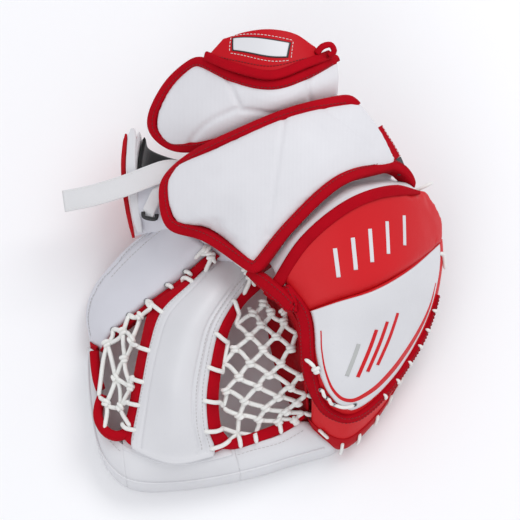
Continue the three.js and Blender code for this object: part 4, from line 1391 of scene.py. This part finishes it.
def inner_wall(sections):
    """A thin skin inside the bar, from under its inner edge down to the ground. It carries dark
    mauve palm leather as painted shade: it stands in for the shaded floor seen through the nets.
    """
    inner, outer = sections[:, 2], sections[:, 12]
    inward = unit((inner - outer) * [1, 1, 0])
    top = inner - [0, 0, 9 * MM] - inward * 1 * MM
    foot = top * [1, 1, 0] + [0, 0, 1 * MM] - inward * 4 * MM
    return np.stack([top, top + inward * 2 * MM, foot + inward * 2 * MM, foot], 1)


def closed_off(sections):
    """Rounds a run of sections off towards its last one."""
    left = np.arange(len(sections))[::-1]
    full = 0.45 + 0.55 * rounding(left, 10)
    middle = (sections.mean(1, keepdims=True) * [1, 1, 0]
              + sections.min(1, keepdims=True) * [0, 0, 1])
    return middle + (sections - middle) * full[:, None, None]


# The bindings of the bar's inner edge in drawn millimetres, each a run between two laces.
LEFT_BINDING = (
    [[-144, -68, 36], [-143, -80, 36], [-141, -92, 37], [-138, -102, 38]],
    [[-136, -108, 39], [-139, -118, 39], [-139, -129, 40], [-133, -140, 41], [-124, -145, 43],
     [-115, -143, 45], [-109, -136, 48], [-107, -126, 51]],
)
RIGHT_BINDING = (
    [[-31, -152, 45], [-22, -152, 44], [-9, -148, 42], [2, -144, 41], [14, -139, 40],
     [25, -133, 39], [36, -124, 39]],
)


def add_bar_part(name, side, parts, material, *nodes):
    """A length of the bar: the middle one rides on the pocket, and those at the sides stay where
    they are built.
    """
    obj = sewn(f"{name}_{side}", parts, material, None, *nodes)
    if side == "center":
        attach(obj, "pocket")
    elif side == "left":
        placed([-146, -80, 20])
        placed([-122, -140, 20])
        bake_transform(obj)
    else:
        placed([-28, -120, 50])
        placed([32, -105, 50])
        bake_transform(obj)


def add_bar():
    surface = Surface(BAR)
    for side, start, end in (("left", 0, 3.63), ("center", 3.63, 6.53), ("right", 6.53, 9.4)):
        sections = bar_sections(surface, start, end)
        if side == "right":
            sections = closed_off(sections)
        add_bar_part("bar_cover", side, [swept_sections(sections)], WHITE_LEATHER, f"bar_{side}")
        u = np.linspace(start, min(end, 8.9), 90) / BAR_COLUMNS
        edge = surface.at(u, 0.965) + np.array([0, 0, 0.4 * MM])
        add_bar_part("bar_piping", side, [tube_parts(edge, 1.1 * MM)], WHITE_LEATHER)
        if side != "center":
            row = surface.at(u, 0.62) + [0, 0, 2.6 * MM]
            ups = facing(row, [0.0, -0.45, 0.9])
            add_bar_part("bar_stitch", side, stitch_parts(row, ups, 2.6 * MM, 1.5 * MM, 0.3 * MM),
                         GREY_THREAD)
        # painted shade: the bar's inner skin is dark mauve palm leather, standing in for the shaded
        # floor seen through the nets
        add_bar_part("bar_lining", side, [swept_sections(inner_wall(sections))], PALM_LEATHER)
    u = np.linspace(3.7, 6.45, 40) / BAR_COLUMNS
    seam, outer = surface.at(u, 0.5), surface.at(u, 1)
    inward = unit((seam - outer) * [1, 1, 0])
    inner, outer = seam + inward * 12 * MM, seam - inward * 2 * MM
    drop = [0, 0, 9 * MM]
    tongue = np.stack([inner, outer, outer - drop, inner - drop], 1) - [0, 0, 1 * MM]
    sewn("bar_tongue", [swept_sections(filleted(tongue, [MM] * 4))], WHITE_LEATHER, "pocket")
    for side, paths, width in (("left", LEFT_BINDING, 9.5), ("right", RIGHT_BINDING, 10.5)):
        lines = [curve_through(placed(points), 2 * MM) for points in paths]
        parts = [flat_tape(line, facing(line, [0.0, 0.1, 1.0]), width * MM, 9 * MM, 3.2 * MM)
                 for line in lines]
        add_bar_part("bar_edge", side, parts, RED_TAPE, f"bar_{side}_binding")


# ---------------------------------------------------------------- nets

def knot_parts(centre, along, up, radius=3.0 * MM):
    """A flat knot: a turn and a half of lace round a crossing."""
    side = unit(np.cross(along, up))
    angle = 2 * math.pi * 1.4 * np.linspace(0, 1, 22)
    climb = np.linspace(-0.5, 0.5, 22)[:, None] * radius * 1.7
    points = (centre + side * (radius * 0.95 * np.cos(angle))[:, None]
              + up * (radius * 0.8 * np.sin(angle))[:, None] + along * climb)
    return tube_parts(points, 2.0 * MM, 9)


def bent_cord(start, end, up, bend, radius=2.3 * MM):
    """A lace between two knots, a little off straight."""
    side = unit(np.cross(end - start, up))
    points = [start, start * 0.7 + end * 0.3 + side * bend - up * abs(bend) * 0.5,
              start * 0.3 + end * 0.7 + side * bend * 0.6 - up * abs(bend) * 0.5, end]
    return cord_parts(points, radius)


def right_net_parts():
    """A slanted diamond net between the stem, the rim bar and the fingers."""
    surface = Surface(NET_RIGHT)
    chance = np.random.default_rng(11)
    knots = {}
    for m in range(-5, 9):
        for n in range(-6, 7):
            u = 0.335 + 0.25 * m - 0.155 * n + chance.uniform(-0.02, 0.02)
            v = 0.525 + 0.05 * m + 0.105 * n + chance.uniform(-0.008, 0.008)
            if -0.14 < u < 1.13 and 0.06 < v < 1.06:
                knots[m, n] = (min(max(u, -0.03), 1.03), v)
    parts, tied = [], []
    binding = curve_through(placed(RIGHT_BINDING[0]), 2 * MM)
    for (m, n), (u, v) in knots.items():
        here, up = surface.at([u], [v])[0], surface.normal([u], [v])[0]
        for other in ((m + 1, n), (m, n + 1)):
            if other in knots:
                there = surface.at(*([c] for c in knots[other]))[0]
                parts.append(bent_cord(here, there, up, chance.uniform(-2.2, 2.2) * MM))
        if (m, n + 1) not in knots and v > 0.85:
            near = binding[np.argmin(np.linalg.norm(binding[:, :2] - here[:2], axis=1))]
            over = near + [0, 0, 6 * MM]
            out = near + [1 * MM, -6.5 * MM, 3 * MM]
            rise = here * 0.4 + over * 0.6 + [0, 0, 1 * MM]
            parts.append(cord_parts([here, rise, over, out], 2.2 * MM))
        if u <= 0.0:
            tied.append(here)
        if 0.0 < u < 1.0:
            aim = surface.at([u + 0.05], [v + 0.05])[0] - here
            parts.append(knot_parts(here + up * 0.8 * MM, unit(aim), up))
        elif u >= 1.0:
            lower = here + np.array([13.0, -2.0, -6.0]) * MM
            parts.append(bent_cord(here, lower, up, 1.0 * MM))
    return parts, np.array(tied)


# Knots and ends of the thumb-side net, in drawn millimetres, from the thumb down to the bar.
LEFT_KNOTS = {
    "a": (-103, -46, 68), "b": (-118, -57, 60), "c": (-132, -65, 50), "d": (-110, -66, 66),
    "e": (-116, -82, 60), "g": (-124, -96, 52), "h": (-110, -107, 60), "i": (-132, -117, 46),
    "j": (-120, -122, 50),
    "eyelet_3": (-97, -32, 72), "eyelet_4": (-113, -43, 64), "eyelet_5": (-128, -53, 54),
    "stem_3": (-93, -42, 82), "stem_4": (-105, -74, 78), "stem_5": (-108, -99, 70),
    "stem_6": (-112, -119, 60), "stem_7": (-117, -130, 52), "bar_1": (-139, -110, 43),
    "bar_2": (-134, -140, 43), "corner": (-111, -139, 52),
}
LEFT_CORDS = (
    ("eyelet_3", "stem_3"), ("eyelet_4", "a"), ("eyelet_4", "b"), ("eyelet_5", "b"),
    ("eyelet_5", "c"), ("a", "stem_3"), ("a", "d"), ("b", "d"), ("b", "c"), ("d", "stem_4"),
    ("b", "e"), ("d", "e"), ("c", "g"), ("e", "g"), ("e", "h"), ("stem_5", "h"), ("g", "i"),
    ("g", "h"), ("h", "j"), ("g", "j"), ("i", "bar_1"), ("i", "bar_2"), ("i", "j"),
    ("j", "stem_6"), ("j", "corner"), ("c", "bar_1"),
)


def left_net_parts():
    chance = np.random.default_rng(5)
    up = unit(np.array([-0.35, 0.1, 1.0]))
    parts = []
    for start, end in LEFT_CORDS:
        a, b = placed(LEFT_KNOTS[start]), placed(LEFT_KNOTS[end])
        parts.append(bent_cord(a, b, up, chance.uniform(-2.5, 2.5) * MM, 2.2 * MM))
    for name in "abcdeghij":
        here = placed(LEFT_KNOTS[name])
        aim = unit(np.array([chance.uniform(-1, 1), -1.0, -0.4]))
        parts.append(knot_parts(here + up * 0.8 * MM, aim, up))
    return parts


def wrap_parts(place, v, inner, outer, knots, slant):
    """A lace over a binding: out of a hole inside it, across, and down to the nearest knot."""
    side = 1 if outer > inner else -1
    us = [inner - 0.012 * side, inner, inner + (outer - inner) * 0.35,
          inner + (outer - inner) * 0.75, outer, outer + 0.035 * side]
    heights = np.array([-2.5, 2.2, 4.2, 4.2, 2.0, -6.0]) * MM
    vs = v + np.array([0, 0, 0.5, 0.8, 1.0, 1.0]) * slant
    points = place(np.array(us), vs, heights)
    if len(knots):
        gaps = np.linalg.norm(knots - points[-1], axis=1)
        if gaps.min() < 22 * MM:
            points = np.concatenate([points[:-1], knots[[np.argmin(gaps)]]])
    return cord_parts(points, 2.2 * MM)


# Laces tied off at the stem's upper end, in drawn millimetres.
TOP_LACES = (
    ([-56, 0, 88], [-46, 6, 96], [-38, -6, 94]), ([-52, 4, 90], [-42, 0, 96], [-47, -12, 88]),
    ([-22, -4, 96], [-11, -14, 99], [-4, -26, 92]), ([-14, -6, 96], [-8, -19, 98], [-14, -33, 90]),
)
# Laces over the stem's bindings: where each one starts along the stem, and its slant.
RIGHT_WRAPS = ((0.15, 0.05), (0.31, 0.03), (0.45, 0.01), (0.59, 0.0), (0.73, 0.0), (0.86, -0.01))
LEFT_WRAPS = ((0.13, -0.01), (0.29, -0.01), (0.45, 0.0), (0.58, 0.0), (0.69, 0.01), (0.80, 0.02))


def add_nets(stem_place):
    left = sewn("laced_net_left", left_net_parts(), LACE, None, "net_left")
    placed([-132, -80, 45])
    placed([-108, -110, 50])
    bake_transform(left)
    parts, tied = right_net_parts()
    right = sewn("laced_net_right", parts, LACE, None, "net_right")
    placed([-26, -90, 70])
    placed([34, -80, 70])
    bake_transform(right)
    wraps = [wrap_parts(stem_place, v, 0.75, 1.0, tied, slant) for v, slant in RIGHT_WRAPS]
    wraps += [wrap_parts(stem_place, v, 0.25, 0.0, (), slant) for v, slant in LEFT_WRAPS]
    up = np.array([0, 0, 1.0])
    for start, middle, end in TOP_LACES:
        wraps.append(cord_parts(placed([start, middle, end]), 2.2 * MM))
        wraps.append(knot_parts(placed(middle), unit(np.array(end, float) - start), up, 3.2 * MM))
    sewn("stem_lacing", wraps, LACE, "pocket")


# ---------------------------------------------------------------- lacing and straps

THUMB_HOLES = [(1.0, 0.28), (0.94, 0.39), (0.92, 0.54), (0.87, 0.67), (0.81, 0.80)]
PLATE_HOLES = [(0.135, 0.735), (0.20, 0.77), (0.275, 0.795), (0.47, 0.79)]


def add_thumb_lacing(place, surface):
    eyelets("thumb_eyelet", "root", place, surface, THUMB_HOLES, 1.0, 2.1 * MM)
    parts = [laced(place, surface, [(u, v, 0.97), (u + 0.01, v, 1.05), (u + 0.10, v + 0.005, 1.1),
                                    (u + 0.17, v + 0.01, 0.95)], 2.1 * MM) for u, v in THUMB_HOLES]
    sewn("thumb_lacing", parts, LACE, "root", "thumb_lace")


def add_finger_lacing():
    surface = Surface(FINGER_BACK)
    place = between(Surface(FINGER_PALM), surface)
    rim = [laced(place, surface, [(u, 0.972, 0.93), (u, 0.985, 1.1), (u + 0.004, 1.012, 1.16),
                                  (u + 0.006, 1.03, 0.8), (u + 0.006, 1.025, 0.4)], 1.6 * MM)
           for u in (0.45, 0.60, 0.74, 0.86, 0.96)]
    rim += [laced(place, surface, [(0.985, v, 0.75), (1.01, v, 0.80), (1.028, v + 0.004, 0.6),
                                   (1.025, v + 0.006, 0.3)], 1.6 * MM)
            for v in (0.90, 0.80, 0.68, 0.56)]
    run = [(0.17, 0.965, 0.98), (0.19, 0.965, 1.10), (0.27, 0.975, 1.11), (0.30, 0.98, 0.98)]
    rim.append(laced(place, surface, run, 1.7 * MM))
    sewn("finger_rim_lacing", rim, LACE, "fingers", "finger_lace")

    eyelets("plate_eyelet", "fingers", place, surface, PLATE_HOLES, 1.05, 1.9 * MM)
    parts = []
    for a, b in zip(PLATE_HOLES, PLATE_HOLES[1:]):
        run = [(*a, 1.02), (a[0] + 0.015, a[1] + 0.004, 1.09),
               ((a[0] + b[0]) / 2, (a[1] + b[1]) / 2 + 0.01, 1.1),
               (b[0] - 0.015, b[1] + 0.004, 1.09), (*b, 1.02)]
        parts.append(laced(place, surface, run, 1.7 * MM))
    tail = [(0.01, 0.56, 1.10), (0.05, 0.585, 1.13), (0.095, 0.625, 1.12)]
    line, normals = laid_line(place, surface, tail)
    parts.append(cord_parts(line[::3], 1.9 * MM))
    parts.append(knot_parts(line[-1], unit(line[-1] - line[-3]), normals[-1], 2.6 * MM))
    tail = [(0.985, 0.30, 1.02), (1.01, 0.32, 1.05), (1.03, 0.37, 1.0), (1.045, 0.42, 0.9)]
    parts.append(laced(place, surface, tail, 2.0 * MM))
    parts.append(cord_parts(placed([[132, 58, 96], [139, 61, 98], [149, 66, 98]]), 1.8 * MM))
    sewn("plate_lacing", parts, LACE, "fingers", "plate_lace")


def add_strap():
    line = curve_through(placed([STRAP_END, *STRAP_LINE]), 2 * MM)
    along = tangents(line)
    sides = unit(np.cross(along, [0, 0, 1.0]))
    ups = unit(np.cross(along, sides))
    if ups[0][2] < 0:
        ups = -ups
    strap = sweep_parts(line, sides, ups, rounded_section(22 * MM, 2.2 * MM, 0.9 * MM))
    sewn("wrist_strap", [strap], WEBBING, "strap", "strap")
    rows = double_row(line + ups * 1.1 * MM, sides * (9.2 * MM), ups, 2.4 * MM, 1.4 * MM, 0.3 * MM)
    sewn("strap_stitch", rows, WHITE_THREAD, "strap")
    end = slice(-24, -2)
    patch = flat_tape(line[end] - ups[end] * 1.9 * MM, ups[end], 19 * MM, 1.5 * MM, 0.5 * MM)
    sewn("strap_hooks", [patch], LINING, "strap", "strap_hook_patch", slot="black_plastic")
    line = curve_through(placed(KEEPER_LINE))
    loop = flat_tape(line, facing(line, [-0.25, -0.1, 1.0]), 12.5 * MM, 3.6 * MM, 1.2 * MM)
    sewn("strap_keeper", [loop], WEBBING, "root", "keeper_loop")
    ring = tube_parts(curve_through(placed(KEEPER_RING)), 2.0 * MM, 12)
    sewn("strap_keeper_ring", [ring], BLACK_PLASTIC, "root", "keeper_ring")


def add_side_tab():
    line = curve_through(placed(TAB_LINE))
    outward = unit(np.cross(facing(line, [0.62, 0.35, -0.7]), tangents(line)))
    outward *= np.sign(outward[:, :1])
    strip = flat_tape(line, outward, 15 * MM, 3.0 * MM, 1.2 * MM)
    sewn("side_tab_tape", [strip], RED_TAPE, "side_tab", "side_tab")
    across = unit(np.cross(tangents(line), outward))
    rows = double_row(line + outward * 1.5 * MM, across * (5.5 * MM), outward,
                      2.4 * MM, 1.4 * MM, 0.35 * MM)
    sewn("side_tab_stitch", rows, WHITE_THREAD, "side_tab")
    end = curve_through(placed(TAB_END))
    strip = flat_tape(end, np.tile(outward[-1], (len(end), 1)), 14 * MM, 4.6 * MM, 2 * MM)
    sewn("side_tab_tip", [strip], BLACK_PLASTIC, "side_tab", "side_tab_end")


add_camera()
add_studio()
add_back_pad()
add_side_walls()
add_wrist_pad()
add_wrist_tab()
add_cuff()
add_heel()
thumb_place, thumb_surface = add_thumb()
add_gusset()
add_fingers()
stem_place = add_stem()
add_bar()
add_nets(stem_place)
add_thumb_lacing(thumb_place, thumb_surface)
add_finger_lacing()
add_strap()
add_side_tab()
